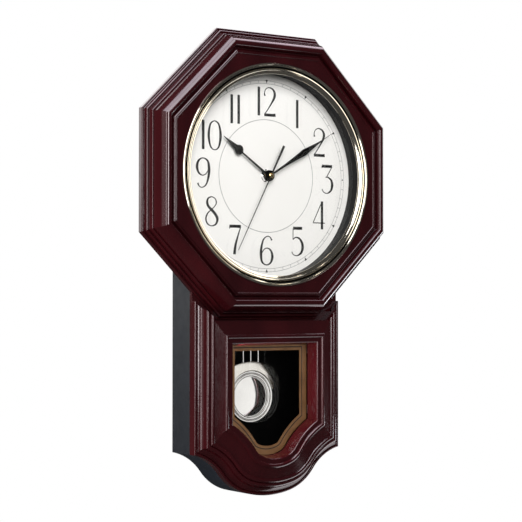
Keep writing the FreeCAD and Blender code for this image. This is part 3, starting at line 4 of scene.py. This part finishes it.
import bmesh
import bpy
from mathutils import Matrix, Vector

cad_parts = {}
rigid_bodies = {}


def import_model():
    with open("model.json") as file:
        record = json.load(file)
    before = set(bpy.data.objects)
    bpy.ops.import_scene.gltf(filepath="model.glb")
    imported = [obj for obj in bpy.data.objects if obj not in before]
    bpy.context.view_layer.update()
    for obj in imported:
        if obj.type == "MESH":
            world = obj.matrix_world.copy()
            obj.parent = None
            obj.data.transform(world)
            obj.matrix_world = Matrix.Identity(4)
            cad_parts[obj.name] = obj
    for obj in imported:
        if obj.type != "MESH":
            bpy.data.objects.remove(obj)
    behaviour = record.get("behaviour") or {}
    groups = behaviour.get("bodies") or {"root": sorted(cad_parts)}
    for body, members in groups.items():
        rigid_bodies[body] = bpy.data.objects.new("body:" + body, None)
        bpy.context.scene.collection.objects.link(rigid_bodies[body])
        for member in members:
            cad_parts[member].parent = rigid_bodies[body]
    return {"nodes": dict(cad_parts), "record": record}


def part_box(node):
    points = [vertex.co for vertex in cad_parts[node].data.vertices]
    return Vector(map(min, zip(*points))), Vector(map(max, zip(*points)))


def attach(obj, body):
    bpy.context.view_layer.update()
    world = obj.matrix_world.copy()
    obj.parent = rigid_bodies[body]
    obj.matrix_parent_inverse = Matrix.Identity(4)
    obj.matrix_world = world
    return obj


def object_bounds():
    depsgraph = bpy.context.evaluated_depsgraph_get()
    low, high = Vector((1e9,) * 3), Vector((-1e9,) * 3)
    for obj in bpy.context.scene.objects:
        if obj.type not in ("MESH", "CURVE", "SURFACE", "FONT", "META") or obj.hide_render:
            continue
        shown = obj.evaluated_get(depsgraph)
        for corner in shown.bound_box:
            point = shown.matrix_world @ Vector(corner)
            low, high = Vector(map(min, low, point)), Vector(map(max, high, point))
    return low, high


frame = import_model()
cad_low, cad_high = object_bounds()
NODES = frame["nodes"]
SCENE = bpy.context.scene

# Places read from the frame, in metres.
DIAL_LOW, DIAL_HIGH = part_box("dial_plate")
DIAL_X = (DIAL_LOW.x + DIAL_HIGH.x) / 2
DIAL_Z = (DIAL_LOW.z + DIAL_HIGH.z) / 2
DIAL_FACE = DIAL_LOW.y
GLASS_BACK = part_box("window_glass")[1].y
MM = 0.001

# The view.
CAMERA_PLACE = (-1.0026, -1.5367, -0.2364)
CAMERA_TILT = 0.02694        # radians above the horizontal
CAMERA_TURN = -0.58784       # radians about the vertical
CAMERA_LENS = 107.78
WORLD_SEEN = 1.0             # brightness of the background in the picture
WORLD_FELT = 0.07            # and on the surfaces
FLOOR_RADIUS = 1.25
FLOOR_DROP = 0.29            # the floor lies this far below the clock
SCENE_MIDDLE = (0, -0.03, -0.19)

# Printing on the dial.
PRINT_LIFT = 0.00006         # ink stands this far off the surface it is printed on
NUMERAL_HEIGHT = 0.0330
NUMERAL_RADIUS = 0.0860
PEN_GAIN, PEN_LEAST = 1.3, 0.5     # a table width w is drawn w * PEN_GAIN + PEN_LEAST millimetres wide
INNER_CIRCLE = 0.0650
TRACK_INNER = 0.1068
TRACK_OUTER = 0.1104
HAIRLINE = 0.00075
CIRCLE_WIDTH = HAIRLINE * 0.8
TRACK_WIDTH = HAIRLINE * 0.55
TICK_HALF = HAIRLINE * 0.3
MARK_HALF = 0.0016           # the hour marks are triangles with their points to the middle
MARK_OUT = 0.0008
MARK_IN = 0.0004
DOT_RADIUS = 0.0009          # three o'clock has a dot instead

# The crest of the window's bead, measured from the dial's centre; angles in degrees.
WINDOW_HALF = 0.0659
WINDOW_CORNER = 0.2873
WINDOW_BOTTOM = 0.3313
WINDOW_START, WINDOW_INFLECTION, WINDOW_HAUNCH = 27.8, 56.3, 24.4
WINDOW_FOOT_RADIUS = 0.0524
CURVE_STEPS = 16             # points on each arc of the outline

# The four edges of the stripes printed on the glass, from the outside in: how far each lies inside
# the crest, and how far below the dial's centre it ends at the top.
STRIPE_EDGES = ((0.0112, 0.1895), (0.0172, 0.1965), (0.0183, 0.1977), (0.0213, 0.2008))


# --- camera and lights -------------------------------------------------------------------------------
def add_camera():
    data = bpy.data.cameras.new("camera")
    data.sensor_width = 36.0
    data.lens = CAMERA_LENS
    camera = bpy.data.objects.new("camera", data)
    camera.location = CAMERA_PLACE
    camera.rotation_euler = (math.pi / 2 + CAMERA_TILT, 0.0, CAMERA_TURN)
    SCENE.collection.objects.link(camera)
    SCENE.camera = camera


def direction(left, up):
    """Unit vector from the clock, in degrees to its left (seen from the front) and above the horizon."""
    a, e = math.radians(left), math.radians(up)
    return Vector((-math.sin(a) * math.cos(e), -math.cos(a) * math.cos(e), math.sin(e)))


def softbox(name, left, up, distance, size, power, colour=(1, 1, 1), centre=SCENE_MIDDLE, only=None,
            glossy=True):
    """Rectangular light that faces the centre; with `only`, it lights those pieces and no others."""
    data = bpy.data.lights.new(name, "AREA")
    data.shape = "RECTANGLE"
    data.size, data.size_y = size
    data.energy = power
    data.color = colour
    light = bpy.data.objects.new(name, data)
    way = direction(left, up)
    light.location = Vector(centre) + way * distance
    light.rotation_euler = way.to_track_quat("Z", "Y").to_euler()
    light.visible_camera = False
    light.visible_glossy = glossy
    SCENE.collection.objects.link(light)
    if only:
        group = bpy.data.collections.new(name + "_receivers")
        for piece in only:
            group.objects.link(piece)
        light.light_linking.receiver_collection = group


def add_world():
    """White to the eye, dim grey to the surfaces, so that the dark gloss stays dark."""
    SCENE.view_settings.view_transform = "Standard"
    world = bpy.data.worlds.new("studio")
    SCENE.world = world
    world.use_nodes = True
    tree = world.node_tree
    tree.nodes.clear()
    seen = tree.nodes.new("ShaderNodeBackground")
    seen.inputs["Color"].default_value = (1, 1, 1, 1)
    seen.inputs["Strength"].default_value = WORLD_SEEN
    felt = tree.nodes.new("ShaderNodeBackground")
    felt.inputs["Strength"].default_value = WORLD_FELT
    path = tree.nodes.new("ShaderNodeLightPath")
    mix = tree.nodes.new("ShaderNodeMixShader")
    out = tree.nodes.new("ShaderNodeOutputWorld")
    tree.links.new(path.outputs["Is Camera Ray"], mix.inputs["Fac"])
    tree.links.new(felt.outputs["Background"], mix.inputs[1])
    tree.links.new(seen.outputs["Background"], mix.inputs[2])
    tree.links.new(mix.outputs["Shader"], out.inputs["Surface"])


# --- materials ---------------------------------------------------------------------------------------
class Finish:
    """A Principled material with helpers that vary its colour, roughness and surface."""

    def __init__(self, name, rough, metal=0.0, **sockets):
        self.material = bpy.data.materials.new(name)
        self.material.use_nodes = True
        self.tree = self.material.node_tree
        self.shader = self.tree.nodes["Principled BSDF"]
        self.shader.inputs["Roughness"].default_value = rough
        self.shader.inputs["Metallic"].default_value = metal
        for socket, value in sockets.items():
            self.shader.inputs[socket.replace("_", " ")].default_value = value
        self.coordinates = self.tree.nodes.new("ShaderNodeTexCoord")

    def node(self, kind):
        return self.tree.nodes.new(kind)

    def link(self, a, b):
        self.tree.links.new(a, b)

    def stretched(self, scale):
        mapping = self.node("ShaderNodeMapping")
        mapping.inputs["Scale"].default_value = scale
        self.link(self.coordinates.outputs["Object"], mapping.inputs["Vector"])
        return mapping.outputs["Vector"]

    def noise(self, scale, detail=3.0, stretch=(1, 1, 1)):
        made = self.node("ShaderNodeTexNoise")
        made.inputs["Scale"].default_value = scale
        made.inputs["Detail"].default_value = detail
        self.link(self.stretched(stretch), made.inputs["Vector"])
        return made.outputs["Fac"]

    def colours(self, factor, stops):
        ramp = self.node("ShaderNodeValToRGB")
        while len(ramp.color_ramp.elements) < len(stops):
            ramp.color_ramp.elements.new(0.5)
        for element, (place, colour) in zip(ramp.color_ramp.elements, stops):
            element.position = place
            element.color = (*colour, 1.0)
        self.link(factor, ramp.inputs["Fac"])
        self.link(ramp.outputs["Color"], self.shader.inputs["Base Color"])

    def roughness(self, factor, low, high):
        span = self.node("ShaderNodeMapRange")
        span.inputs["From Min"].default_value = 0.3
        span.inputs["From Max"].default_value = 0.7
        span.inputs["To Min"].default_value = low
        span.inputs["To Max"].default_value = high
        self.link(factor, span.inputs["Value"])
        self.link(span.outputs["Result"], self.shader.inputs["Roughness"])

    def bump(self, factor, strength, height):
        made = self.node("ShaderNodeBump")
        made.inputs["Strength"].default_value = strength
        made.inputs["Distance"].default_value = height
        self.link(factor, made.inputs["Height"])
        self.link(made.outputs["Normal"], self.shader.inputs["Normal"])


def plain(name, rough, metal, dark, light, scale, grain, **sockets):
    """Two close tones in a soft noise, with a fine surface grain."""
    finish = Finish(name, rough, metal, **sockets)
    finish.colours(finish.noise(scale), [(0.35, dark), (0.65, light)])
    finish.roughness(finish.noise(scale * 2.3), rough * 0.85, rough * 1.2)
    finish.bump(finish.noise(grain[0]), grain[1], grain[2])
    return finish


def mahogany():
    finish = Finish("mahogany", 0.13, IOR=1.5)
    streak = finish.noise(26.0, 5.0, (1, 1, 0.16))
    finish.colours(streak, [(0.30, (0.0110, 0.0013, 0.0019)), (0.52, (0.0155, 0.0018, 0.0025)),
                            (0.75, (0.0205, 0.0025, 0.0033))])
    finish.roughness(finish.noise(55.0), 0.10, 0.16)
    finish.bump(finish.noise(420.0, 2.0), 0.06, 0.00004)
    return finish


def glass(name, alpha):
    finish = Finish(name, 0.02, IOR=1.45, Transmission_Weight=1.0)
    finish.colours(finish.noise(8.0), [(0.3, (0.93, 0.96, 0.95)), (0.7, (0.97, 0.99, 0.98))])
    finish.shader.inputs["Alpha"].default_value = alpha
    finish.material.surface_render_method = "BLENDED"
    return finish


def battery_jacket():
    low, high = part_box("battery")
    finish = Finish("battery_jacket", 0.28, 0.4)
    part = finish.node("ShaderNodeSeparateXYZ")
    finish.link(finish.coordinates.outputs["Object"], part.inputs["Vector"])
    span = finish.node("ShaderNodeMapRange")
    span.inputs["From Min"].default_value = low.x
    span.inputs["From Max"].default_value = high.x
    finish.link(part.outputs["X"], span.inputs["Value"])
    finish.colours(span.outputs["Result"], [(0.0, (0.6, 0.58, 0.55)), (0.03, (0.012, 0.012, 0.014)),
                                            (0.66, (0.014, 0.014, 0.016)), (0.68, (0.42, 0.17, 0.06)),
                                            (0.96, (0.45, 0.19, 0.07)), (0.98, (0.6, 0.58, 0.55))])
    finish.bump(finish.noise(700.0), 0.05, 0.00003)
    return finish


def circuit():
    finish = Finish("circuit", 0.35)
    tracks = finish.node("ShaderNodeTexBrick")
    tracks.inputs["Scale"].default_value = 220.0
    tracks.inputs["Mortar Size"].default_value = 0.03
    tracks.inputs["Color1"].default_value = (0.01, 0.09, 0.03, 1)
    tracks.inputs["Color2"].default_value = (0.015, 0.12, 0.045, 1)
    tracks.inputs["Mortar"].default_value = (0.03, 0.22, 0.09, 1)
    finish.link(finish.stretched((1, 1, 1)), tracks.inputs["Vector"])
    finish.link(tracks.outputs["Color"], finish.shader.inputs["Base Color"])
    finish.bump(tracks.outputs["Fac"], 0.2, 0.00005)
    return finish


def winding():
    finish = Finish("copper_wire", 0.25, 0.8)
    wave = finish.node("ShaderNodeTexWave")
    wave.inputs["Scale"].default_value = 900.0
    wave.inputs["Distortion"].default_value = 0.6
    finish.link(finish.stretched((1, 1, 1)), wave.inputs["Vector"])
    finish.colours(wave.outputs["Fac"], [(0.0, (0.16, 0.045, 0.018)), (1.0, (0.55, 0.2, 0.09))])
    finish.bump(wave.outputs["Fac"], 0.5, 0.0001)
    return finish


def brushed(name, dark, light, rough, stretch):
    finish = Finish(name, rough, 1.0)
    lines = finish.noise(700.0, 3.0, stretch)
    finish.colours(lines, [(0.3, dark), (0.7, light)])
    finish.roughness(lines, rough * 0.8, rough * 1.25)
    finish.bump(lines, 0.08, 0.00003)
    return finish


def fibreboard():
    finish = Finish("board", 0.75)
    fibres = finish.noise(420.0, 6.0, (1, 1, 0.35))
    finish.colours(fibres, [(0.25, (0.20, 0.125, 0.065)), (0.6, (0.33, 0.22, 0.125)),
                            (0.8, (0.42, 0.30, 0.18))])
    finish.bump(fibres, 0.4, 0.0002)
    return finish


def hardboard():
    finish = Finish("back_board", 0.6)
    mesh = finish.node("ShaderNodeTexVoronoi")
    mesh.inputs["Scale"].default_value = 650.0
    mesh.inputs["Randomness"].default_value = 0.25
    finish.link(finish.stretched((1, 1, 1)), mesh.inputs["Vector"])
    finish.colours(finish.noise(90.0, 5.0), [(0.3, (0.0055, 0.0055, 0.006)),
                                             (0.7, (0.012, 0.011, 0.011))])
    finish.bump(mesh.outputs["Distance"], 0.25, 0.0001)
    return finish


FINISHES = {
    "mahogany": mahogany(),
    "case_plastic": plain("case_plastic", 0.52, 0.0, (0.008, 0.010, 0.014), (0.011, 0.0135, 0.019), 30.0,
                          (1400.0, 0.35, 0.00012)),
    "board": fibreboard(),
    "back_board": hardboard(),
    "bezel_metal": brushed("bezel_metal", (0.86, 0.78, 0.64), (0.95, 0.89, 0.78), 0.09, (1, 1, 1)),
    "clear_glass": glass("clear_glass", 0.03),
    "black_plastic": plain("black_plastic", 0.45, 0.0, (0.003, 0.003, 0.004), (0.006, 0.006, 0.007), 60.0,
                           (1200.0, 0.2, 0.00006), Specular_IOR_Level=0.1),
    "dial_face": plain("dial_face", 0.55, 0.0, (0.86, 0.845, 0.81), (0.885, 0.87, 0.84), 9.0,
                       (900.0, 0.05, 0.00003)),
    "hand_black": plain("hand_black", 0.5, 0.0, (0.0015, 0.0015, 0.0015), (0.003, 0.003, 0.0032), 80.0,
                        (1500.0, 0.1, 0.00003), Specular_IOR_Level=0.03),
    "steel": brushed("steel", (0.42, 0.42, 0.43), (0.62, 0.62, 0.63), 0.32, (1, 1, 0.1)),
    "brass": brushed("brass", (0.62, 0.41, 0.16), (0.82, 0.60, 0.28), 0.22, (1, 1, 1)),
    "chrome": plain("chrome", 0.06, 1.0, (0.80, 0.80, 0.79), (0.87, 0.87, 0.86), 20.0,
                    (500.0, 0.02, 0.00002)),
    "satin_chrome": brushed("satin_chrome", (0.74, 0.72, 0.67), (0.86, 0.84, 0.80), 0.18, (1, 1, 0.08)),
    "rubber": plain("rubber", 0.8, 0.0, (0.012, 0.012, 0.012), (0.02, 0.02, 0.02), 90.0,
                    (900.0, 0.3, 0.0001)),
    "copper_wire": winding(),
    "circuit": circuit(),
    "gear_plastic": plain("gear_plastic", 0.42, 0.0, (0.66, 0.63, 0.55), (0.74, 0.71, 0.63), 120.0,
                          (900.0, 0.1, 0.00004)),
    "battery_jacket": battery_jacket(),
    "magnet": plain("magnet", 0.5, 0.6, (0.05, 0.05, 0.055), (0.09, 0.09, 0.095), 200.0,
                    (800.0, 0.3, 0.0001)),
}
INK = plain("ink", 0.6, 0.0, (0.0015, 0.0015, 0.0018), (0.003, 0.003, 0.0035), 90.0,
            (1500.0, 0.1, 0.00002), Specular_IOR_Level=0.08)
GREY_INK = plain("grey_ink", 0.5, 0.0, (0.16, 0.16, 0.16), (0.22, 0.22, 0.22), 90.0,
                 (1500.0, 0.1, 0.00002))
GOLD_PRINT = plain("gold_print", 0.45, 0.2, (0.20, 0.095, 0.032), (0.26, 0.13, 0.048), 60.0,
                   (1100.0, 0.25, 0.00004))
LINE_PRINT = plain("line_print", 0.5, 0.0, (0.006, 0.0035, 0.002), (0.01, 0.006, 0.003), 60.0,
                   (1100.0, 0.2, 0.00003))


def dress_nodes():
    for part in frame["record"]["subparts"]:
        piece = NODES[part["node"]]
        for place in piece.material_slots:
            place.material = FINISHES[part["material_slot"]].material


# --- printed pieces ----------------------------------------------------------------------------------
def on_dial(angle, radius, aside=0.0):
    """Point on the dial, by its angle clockwise from twelve, its radius and its offset to the side."""
    s, c = math.sin(angle), math.cos(angle)
    return (DIAL_X + radius * s + aside * c, DIAL_Z + radius * c - aside * s)


class Print:
    """A thin layer of ink: flat faces facing the front at one level."""

    def __init__(self, level):
        self.mesh = bmesh.new()
        self.level = level

    def face(self, points):
        turn = sum(a[0] * b[1] - b[0] * a[1] for a, b in zip(points, points[1:] + points[:1]))
        ordered = points if turn > 0 else list(reversed(points))
        corners = [self.mesh.verts.new((x, self.level, z)) for x, z in ordered]
        self.mesh.faces.new(corners)

    def ribbon(self, left, right, closed=False):
        pairs = list(zip(left, right))
        follow = pairs[1:] + (pairs[:1] if closed else [])
        for (a, b), (c, d) in zip(pairs, follow):
            self.face([a, b, d, c])

    def ring(self, radius, width, steps=192):
        angles = [2 * math.pi * i / steps for i in range(steps)]
        inner = [on_dial(angle, radius - width / 2) for angle in angles]
        outer = [on_dial(angle, radius + width / 2) for angle in angles]
        self.ribbon(inner, outer, True)

    def piece(self, name, finish, slot, body="case"):
        data = bpy.data.meshes.new(name)
        self.mesh.to_mesh(data)
        self.mesh.free()
        data.materials.append(finish.material)
        made = bpy.data.objects.new(name, data)
        SCENE.collection.objects.link(made)
        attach(made, body)


def smooth(points, steps=8):
    """Catmull-Rom curve through (x, y, width) points."""
    padded = [points[0]] + points + [points[-1]]
    curve = []
    for p0, p1, p2, p3 in zip(padded, padded[1:], padded[2:], padded[3:]):
        for i in range(steps):
            t = i / steps
            curve.append(tuple(
                0.5 * (2 * b + (c - a) * t + (2 * a - 5 * b + 4 * c - d) * t * t
                       + (3 * b - a - 3 * c + d) * t * t * t)
                for a, b, c, d in zip(p0, p1, p2, p3)))
    curve.append(points[-1])
    return curve


def stroke(layer, points, origin, size, straight=False):
    """A pen stroke of changing width; points are in shares of the numeral's size."""
    path = points if straight else smooth(points)
    placed = [(origin[0] + x * size[0], origin[1] + y * size[1], (w * PEN_GAIN + PEN_LEAST) * MM / 2)
              for x, y, w in path]
    left, right = [], []
    for i, (x, z, half) in enumerate(placed):
        ax, az, _ = placed[max(i - 1, 0)]
        bx, bz, _ = placed[min(i + 1, len(placed) - 1)]
        length = math.hypot(bx - ax, bz - az)
        nx, nz = -(bz - az) / length, (bx - ax) / length
        left.append((x + nx * half, z + nz * half))
        right.append((x - nx * half, z - nz * half))
    layer.ribbon(left, right)


# Each digit's strokes, as (x, y, width) points: curves in DIGITS, straight lines in RULES.
BAR = 2.3
DIGITS = {
    "0": [[(0.50, 1.00, 0.5), (0.16, 0.88, 1.2), (0.02, 0.50, 2.0), (0.16, 0.12, 1.2), (0.50, 0.0, 0.5),
           (0.84, 0.12, 1.3), (0.98, 0.50, 2.2), (0.84, 0.88, 1.3), (0.50, 1.00, 0.5)]],
    "2": [[(0.10, 0.70, 1.5), (0.06, 0.79, 0.6), (0.16, 0.93, 0.5), (0.45, 1.00, 0.6), (0.78, 0.94, 1.3),
           (0.93, 0.80, 2.2), (0.87, 0.64, 2.0), (0.62, 0.43, 1.1), (0.30, 0.20, 0.6), (0.04, 0.04, 0.5)]],
    "3": [[(0.36, 0.575, 0.5), (0.62, 0.565, 0.9), (0.90, 0.46, 1.8), (0.98, 0.29, 2.4), (0.87, 0.11, 1.7),
           (0.55, 0.0, 0.6), (0.20, 0.03, 0.5), (0.03, 0.14, 0.5)]],
    "5": [[(0.11, 0.56, 0.5), (0.35, 0.64, 0.7), (0.70, 0.60, 1.4), (0.95, 0.43, 2.2), (0.98, 0.27, 2.4),
           (0.85, 0.10, 1.7), (0.50, 0.0, 0.6), (0.15, 0.03, 0.5), (0.0, 0.13, 0.5)]],
    "6": [[(0.93, 0.86, 1.3), (0.80, 0.965, 0.6), (0.55, 1.00, 0.5), (0.24, 0.89, 1.0), (0.06, 0.62, 1.9),
           (0.02, 0.34, 2.3), (0.12, 0.10, 1.5), (0.48, 0.0, 0.6), (0.83, 0.08, 1.4), (0.98, 0.28, 2.3),
           (0.87, 0.49, 1.5), (0.58, 0.585, 0.6), (0.28, 0.54, 0.5), (0.06, 0.38, 0.5)]],
    "7": [[(0.97, 0.95, 0.6), (0.72, 0.62, 1.2), (0.52, 0.31, 2.0), (0.43, 0.0, 2.5)]],
    "8": [[(0.50, 1.0, 0.5), (0.22, 0.94, 1.1), (0.13, 0.79, 1.9), (0.28, 0.64, 2.0), (0.70, 0.45, 2.2),
           (0.95, 0.26, 2.3), (0.84, 0.07, 1.3), (0.48, 0.0, 0.5), (0.14, 0.08, 0.9), (0.03, 0.25, 1.1),
           (0.18, 0.43, 0.8), (0.48, 0.56, 0.5), (0.77, 0.69, 0.5), (0.87, 0.81, 0.8), (0.76, 0.94, 0.5),
           (0.50, 1.0, 0.5)]],
}
RULES = {
    "1": [[(0.5, 0.0, BAR), (0.5, 1.0, BAR)], [(0.28, 0.985, 0.7), (0.5, 0.985, 0.7)]],
    "2": [[(0.04, 0.036, 2.2), (0.80, 0.036, 2.2), (1.0, 0.05, 2.6)]],
    "3": [[(0.02, 0.965, BAR), (0.98, 0.965, BAR)], [(0.96, 0.95, 0.5), (0.46, 0.572, 0.5)],
          [(0.03, 0.97, 0.5), (0.03, 0.89, 0.5)]],
    "4": [[(0.76, 0.0, BAR), (0.76, 1.0, BAR)], [(0.76, 0.995, 0.5), (0.0, 0.225, 0.5)],
          [(0.0, 0.225, 0.5), (1.0, 0.225, 0.5)]],
    "5": [[(0.12, 0.965, BAR), (0.95, 0.965, BAR)], [(0.12, 0.96, 0.5), (0.11, 0.56, 0.5)]],
    "7": [[(0.0, 0.965, BAR), (0.99, 0.965, BAR)], [(0.02, 0.97, 0.5), (0.02, 0.88, 0.5)]],
}
DIGITS["9"] = [[(1.0 - x, 1.0 - y, w) for x, y, w in path] for path in DIGITS["6"]]
# Each hour's digits, as (digit, left edge, width) in millimetres from the numeral's middle.
NUMERALS = {1: [("1", -2.2, 4.4)], 2: [("2", -8.2, 16.4)], 3: [("3", -7.8, 15.6)], 4: [("4", -8.8, 17.0)],
            5: [("5", -7.8, 15.6)], 6: [("6", -8.2, 16.4)], 7: [("7", -7.8, 15.6)], 8: [("8", -8.2, 16.4)],
            9: [("9", -8.2, 16.4)], 10: [("1", -13.6, 4.4), ("0", -4.4, 16.4)],
            11: [("1", -7.0, 4.4), ("1", 2.4, 4.4)], 12: [("1", -13.0, 4.4), ("2", -4.0, 16.4)]}


def print_dial():
    level = DIAL_FACE - PRINT_LIFT
    black = Print(level)
    for hour, digits in NUMERALS.items():
        angle = math.radians(hour * 30)
        middle, height = on_dial(angle, NUMERAL_RADIUS)
        foot = height - NUMERAL_HEIGHT / 2
        for digit, left, width in digits:
            origin = (middle + left * MM, foot)
            size = (width * MM, NUMERAL_HEIGHT)
            for path in DIGITS.get(digit, []):
                stroke(black, path, origin, size)
            for path in RULES.get(digit, []):
                stroke(black, path, origin, size, True)
        if hour == 3:
            turns = [math.radians(t) for t in range(0, 360, 30)]
            black.face([(DIAL_X + (TRACK_INNER + TRACK_OUTER) / 2 + DOT_RADIUS * math.cos(t),
                         DIAL_Z + DOT_RADIUS * math.sin(t)) for t in turns])
            continue
        corners = ((TRACK_OUTER + MARK_OUT, -MARK_HALF), (TRACK_OUTER + MARK_OUT, MARK_HALF),
                   (TRACK_INNER + MARK_IN, 0.0))
        black.face([on_dial(angle, radius, aside) for radius, aside in corners])
    black.piece("dial_numerals", INK, "hand_black")
    grey = Print(level + PRINT_LIFT / 3)
    grey.ring(INNER_CIRCLE, CIRCLE_WIDTH)
    grey.ring(TRACK_INNER, TRACK_WIDTH)
    grey.ring(TRACK_OUTER, TRACK_WIDTH)
    tick = ((TRACK_INNER, -TICK_HALF), (TRACK_OUTER, -TICK_HALF), (TRACK_OUTER, TICK_HALF),
            (TRACK_INNER, TICK_HALF))
    for minute in range(60):
        if minute % 5:
            grey.face([on_dial(math.radians(minute * 6), radius, aside) for radius, aside in tick])
    grey.piece("dial_track", GREY_INK, "hand_black")


class WindowOutline:
    """The window's outline at any inset from the crest of its bead: sides, hollow, haunch and foot."""

    def __init__(self):
        self.a0 = math.radians(WINDOW_START)
        self.a1 = math.radians(WINDOW_INFLECTION)
        self.a2 = math.radians(WINDOW_HAUNCH)
        width = WINDOW_HALF - WINDOW_FOOT_RADIUS * math.sin(self.a2)
        fall = WINDOW_BOTTOM - WINDOW_CORNER - WINDOW_FOOT_RADIUS * (1 - math.cos(self.a2))
        m11 = math.sin(self.a1) - math.sin(self.a0)
        m12 = math.sin(self.a1) - math.sin(self.a2)
        m21 = math.cos(self.a0) - math.cos(self.a1)
        m22 = math.cos(self.a2) - math.cos(self.a1)
        det = m11 * m22 - m12 * m21
        self.r1 = (width * m22 - m12 * fall) / det
        self.r2 = (m11 * fall - m21 * width) / det
        self.c1 = (WINDOW_HALF + self.r1 * math.sin(self.a0), -WINDOW_CORNER - self.r1 * math.cos(self.a0))
        reach = self.r1 + self.r2
        self.c2 = (self.c1[0] - reach * math.sin(self.a1), self.c1[1] + reach * math.cos(self.a1))
        self.c3 = (0.0, -WINDOW_BOTTOM + WINDOW_FOOT_RADIUS)

    def right_side(self, inset, top):
        start = math.asin((self.c1[0] - WINDOW_HALF + inset) / (self.r1 + inset))
        points = [(WINDOW_HALF - inset, -top)]
        for i in range(CURVE_STEPS + 1):
            t = start + (self.a1 - start) * i / CURVE_STEPS
            r = self.r1 + inset
            points.append((self.c1[0] - r * math.sin(t), self.c1[1] + r * math.cos(t)))
        for i in range(1, CURVE_STEPS + 1):
            t = self.a1 + (self.a2 - self.a1) * i / CURVE_STEPS
            r = self.r2 - inset
            points.append((self.c2[0] + r * math.sin(t), self.c2[1] - r * math.cos(t)))
        for i in range(1, CURVE_STEPS + 1):
            t = self.a2 * (1 - i / CURVE_STEPS)
            r = WINDOW_FOOT_RADIUS - inset
            points.append((self.c3[0] + r * math.sin(t), self.c3[1] - r * math.cos(t)))
        return points

    def loop(self, inset, top):
        right = self.right_side(inset, top)
        left = [(-x, z) for x, z in reversed(right[:-1])]
        return [(DIAL_X + x, DIAL_Z + z) for x, z in right + left]


def print_window():
    outline = WindowOutline()
    level = GLASS_BACK + PRINT_LIFT
    edges = [outline.loop(inset, top) for inset, top in STRIPE_EDGES]
    gold = Print(level)
    gold.ribbon(edges[0], edges[1], True)
    gold.ribbon(edges[2], edges[3], True)
    gold.piece("window_border", GOLD_PRINT, "brass")
    dark = Print(level)
    dark.ribbon(edges[1], edges[2], True)
    dark.piece("window_border_line", LINE_PRINT, "hand_black")


# --- stage -------------------------------------------------------------------------------------------
def add_floor():
    disc = bmesh.new()
    bmesh.ops.create_circle(disc, cap_ends=True, radius=FLOOR_RADIUS, segments=96)
    data = bpy.data.meshes.new("floor")
    disc.to_mesh(data)
    disc.free()
    floor = bpy.data.objects.new("floor", data)
    floor.location = (0.0, 0.0, cad_low.z - FLOOR_DROP)
    SCENE.collection.objects.link(floor)
    pale = plain("floor", 0.6, 0.0, (0.80, 0.80, 0.79), (0.84, 0.84, 0.83), 3.0, (60.0, 0.05, 0.0004))
    data.materials.append(pale.material)
    floor.visible_glossy = False


def add_lights():
    wood = [NODES[n] for n in ("octagon_frame", "drop_frame")]
    bright = [NODES[n] for n in ("dial_plate", "hour_hand", "minute_hand", "second_hand", "hand_cap",
                                 "dial_nut", "dial_washer")]
    bright += [o for o in bpy.data.objects if o.name in ("dial_numerals", "dial_track")]
    bob = [NODES[n] for n in ("bob_dome", "bob_ring", "bob_back", "pendulum_neck", "pendulum_rods",
                              "dial_nut", "dial_washer")]
    bob += [o for o in bpy.data.objects if o.name.startswith("window_border")]
    bezel = [NODES["bezel"]]
    softbox("front_fill", 10, 25, 2.4, (1.6, 1.6), 7, glossy=False)
    softbox("left_fill", 80, 10, 2.2, (1.2, 1.6), 5)
    softbox("back_fill", 170, 25, 2.2, (2.0, 2.0), 40)
    softbox("right_fill", -105, 20, 2.2, (1.2, 1.6), 18)
    softbox("wood_key", 16, 12, 2.2, (0.6, 1.5), 40, (1.0, 0.90, 0.92), only=wood)
    softbox("wood_crown", 14, 50, 2.0, (1.1, 1.0), 30, (0.98, 0.92, 0.99), only=wood)
    softbox("wood_slope", 56, 8, 2.2, (0.30, 1.6), 17, (1.0, 0.90, 0.92), only=wood)
    softbox("wood_zenith", 70, 72, 2.0, (1.1, 0.9), 20, (0.98, 0.90, 1.0), only=wood)
    softbox("wood_top", -100, 54, 2.0, (1.4, 0.9), 20, (1.0, 0.84, 0.94), only=wood)
    softbox("wood_floor", -85, -54, 0.62, (0.5, 0.3), 1.6, (1.0, 0.93, 0.96), only=wood)
    softbox("wood_right", -86, -20, 1.2, (0.35, 0.3), 5, (0.94, 0.95, 1.0), only=wood)
    softbox("wood_left", 88, 0, 2.0, (0.5, 1.4), 85, (1.0, 0.80, 0.82), only=wood, glossy=False)
    softbox("reveal_glow", 90, 0, 0.105, (0.010, 0.11), 0.5, (1.0, 0.72, 0.74), (0.060, -0.055, -0.33),
            [NODES["drop_frame"]], glossy=False)
    softbox("case_floor", 60, -40, 0.75, (0.4, 0.4), 4.5, (0.82, 0.9, 1.0), only=[NODES["rear_box"]])
    softbox("dial_key", 20, 25, 2.0, (1.4, 1.4), 48, only=bright)
    softbox("bob_key", 7, 0, 2.0, (4.5, 4.4), 64, (1.0, 0.98, 0.95), only=bob)
    softbox("bezel_left", 40, 15, 2.0, (1.6, 2.4), 36, only=bezel)
    softbox("bezel_right", -60, 20, 2.0, (1.0, 2.0), 15, (1.0, 0.97, 0.9), only=bezel)


add_camera()
add_world()
dress_nodes()
print_dial()
print_window()
add_floor()
add_lights()
